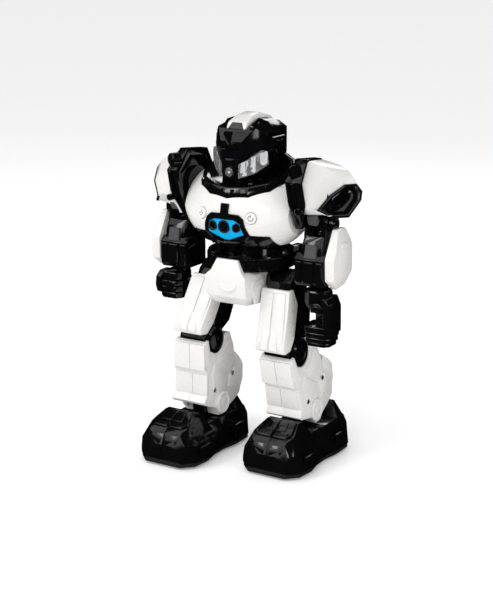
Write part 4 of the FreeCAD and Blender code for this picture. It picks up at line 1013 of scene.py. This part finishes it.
def half_foot(way):
    """One half of a foot about its own middle; way is +1 or -1 for the side."""
    def cuts(*planes):
        """Cutting planes given for the +X half, as (point, outward) pairs, on this half."""
        return [sided(way, plane) for plane in planes]

    seam = cuts(((0.12, 0, 0), (-1, 0, 0)))
    slopes = cuts(((28, 0, 13), (11, 0, 4)), ((24, 0, 24), (10, 0, 7)), ((17, 0, 34), (8, 0, 3)))
    toe = cuts(
        ((17, -59.6, 0), (0.73, -0.68, 0)), ((26, -50, 0), (0.99, -0.12, 0)),
        ((0, -59, 20), (0, -0.88, 0.47)), ((0, -55.5, 26.5), (0, -3, 3.5)), ((0, -52, 29.5), (0, -8.8, 19)),
        ((0, -27.5, 38.4), (0, 8.5, 5.5)), ((0, -59.6, 9), (0, -0.9, -0.4)),
        ((21, -51, 24.5), (0.55, -0.6, 0.58)), ((9, -58.6, 21), (0.2, -0.9, 0.42)),
        ((26, -22, 12), (0.9, 0.42, 0.1)),
    )
    heel = cuts(
        ((28, 28, 0), (7.8, 6, 0)), ((0, 35.8, 21), (0, 17.4, 3.3)), ((0, 34, 5.4), (0, 0.7, -0.7)),
        ((26, 2, 12), (0.9, -0.42, 0.1)), ((27.4, 18, 17), (0.9, 0.1, 0.45)),
    )
    upstand = cuts(((0, 24, 30.5), (0, -7.9, 4.6)), ((0, 35.8, 21), (0, 17.4, 3.3)),
                   ((15, 30, 34), (0.8, 0.1, 0.5)), ((22, 35.8, 0), (7.8, 6, 0)))
    middle = cuts(((25.3, 0, 13), (11, 0, 4)), ((22.5, 0, 21), (10, 0, 8)))
    return [
        hewn((-28, -59.6, 5.4), (28, -16, 38.4), seam + slopes + toe),
        hewn((-25.3, -32, 5.4), (25.3, 8, 27), seam + middle),
        hewn((-28, -4, 5.4), (28, 35.8, 27.4), seam + slopes + heel),
        hewn((-20, 20, 24), (20, 35.8, 38.4), seam + upstand),
    ]


def foot(side, word):
    """Faceted shoe with a raised bonnet panel, side ribs and the ankle's lug."""
    place = leg_point(side, 40.5, 0, -ANKLE_DROP)
    ankle_height = place.z
    place.z = 0
    shapes = half_foot(1) + half_foot(-1)
    bonnet = (0, -8.8, 19)

    def on_bonnet(points, lift):
        """Corners on the bonnet's slope, from (x, y) pairs."""
        return [(x, y, 29.5 + (y + 52) * 8.8 / 19 + lift) for x, y in points]

    panel = on_bonnet([(0.3, -50.6), (13, -50.6), (16.4, -46), (13.4, -32.2), (0.3, -32.2)], -0.1)
    step = on_bonnet([(0.3, -45), (9.4, -45), (8, -35.6), (0.3, -35.6)], 1.4)
    bumper = [(2, -59.2, 19), (12, -58.4, 19), (13.4, -56.2, 24.4), (2, -56.9, 24.4)]
    shoulder = [(16, -46.5, 30.6), (20.6, -45.5, 27), (20, -31, 27.6), (15.4, -33, 34.6)]
    toe_side = [(27.6, -44, 17), (27.8, -31, 17), (27.8, -29, 8), (27.6, -45, 8)]
    heel_side = [(27, 8, 19), (27, 25, 19), (27.9, 27, 8), (27.9, 8, 8)]
    ridge = [(1, -31.6, 38.2), (9.5, -31.6, 38.2), (9.5, -28.8, 38.2), (1, -28.8, 38.2)]
    shapes += facet_pair(panel, 1.6, bonnet, 1.6, 2)
    shapes += facet_pair(step, 0.9, bonnet, 0.8, 1)
    shapes += facet_pair(bumper, 0.4, (0, -0.88, 0.47), 0.4, 1.4)
    shapes += facet_pair(shoulder, 0.8, (0.8, -0.1, 0.6), 0.6, 2)
    shapes += facet_pair(toe_side, 0.35, (1, 0, 0), 0.3, 2)
    shapes += facet_pair(heel_side, 0.3, (1, 0, 0), 0.3, 2)
    shapes += facet_pair(ridge, 0.5, (0, 0, 1), 0.4, 2)
    lug_x = -2.5 * side
    lug = [(8.8, -5.5), (9, -5.1), (9, 5.1), (8.8, 5.5)]
    shapes.append(lathe(lug, (lug_x, 0, ankle_height), (1, 0, 0)))
    shapes.append(block((lug_x - 5.5, -9, 24), (lug_x + 5.5, 9, ankle_height)))
    shoe = merged(shapes)
    bmesh.ops.translate(shoe, vec=place * MM, verts=shoe.verts)
    piece = new_object(f"shoe_{word}", shoe, "black_shell", f"foot_{word}")
    bevelled(piece, 0.7, 3, 18)
    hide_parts(f"foot_shell_{word}")


head_details()
collar()
chest_details()
grip_hand()
fist_hand()
pelvis_details()
waist_details()
for sign, word in SIDES:
    shoulder_pad(sign, word)
    pad_details(sign, word)
    arm_details(sign, word)
    thigh_details(sign, word)
    knee_details(sign, word)
    shin_details(sign, word)
    foot(sign, word)


# ---------------- floor, light and camera


def studio():
    """White floor and room light, one broad lamp from above and four soft boxes."""
    floor_shape = bmesh.new()
    bmesh.ops.create_grid(floor_shape, x_segments=1, y_segments=1, size=14)
    mesh = bpy.data.meshes.new("floor")
    floor_shape.to_mesh(mesh)
    floor_shape.free()
    mesh.materials.append(material("floor_white", (0.93, 0.93, 0.93), 0.6, shade=0.003, grain=0.1, wave=0.0,
                                   emission_color=(1, 1, 1, 1), emission_strength=0.2))
    floor = bpy.data.objects.new("floor", mesh)
    scene.collection.objects.link(floor)
    floor.visible_glossy = False

    world = bpy.data.worlds.new("studio")
    world.use_nodes = True
    world.node_tree.nodes["Background"].inputs["Color"].default_value = (1, 1, 1, 1)
    world.node_tree.nodes["Background"].inputs["Strength"].default_value = 0.56
    world.cycles_visibility.glossy = False
    scene.world = world
    scene.view_settings.view_transform = "Standard"

    middle = Vector((0, 0, 0.14))

    def lamp(name, kind, place, power):
        """A light aimed at the robot's middle."""
        light = bpy.data.lights.new(name, kind)
        light.energy = power
        holder = bpy.data.objects.new(name, light)
        holder.location = place
        holder.rotation_euler = (middle - Vector(place)).to_track_quat("-Z", "Y").to_euler()
        scene.collection.objects.link(holder)
        return light

    lamp("room", "SUN", (-0.5, -0.9, 1.6), 1.15).angle = radians(70)
    for name, place, width, height, power in (
        ("key", (-0.55, -0.95, 0.85), 0.3, 0.45, 2.6), ("side", (1.15, -0.35, 0.6), 0.25, 0.7, 2.0),
        ("front", (0.35, -1.3, 0.75), 0.55, 0.2, 2.4), ("rim", (-0.3, 1.1, 0.9), 0.6, 0.3, 2.5),
    ):
        softbox = lamp(name, "AREA", place, power)
        softbox.shape = "RECTANGLE"
        softbox.size = width
        softbox.size_y = height


def camera():
    """The photograph's view: 31 degrees to the robot's left of straight ahead, from above chest height."""
    lens = bpy.data.cameras.new("camera")
    lens.lens = 82.1
    lens.shift_x = 0.011
    lens.shift_y = -0.005
    eye = bpy.data.objects.new("camera", lens)
    eye.location = Vector((525.3, -880.8, 408)) * MM
    target = Vector((0, -6.5, 136)) * MM
    eye.rotation_euler = (target - eye.location).to_track_quat("-Z", "Y").to_euler()
    scene.collection.objects.link(eye)
    scene.camera = eye


studio()
camera()
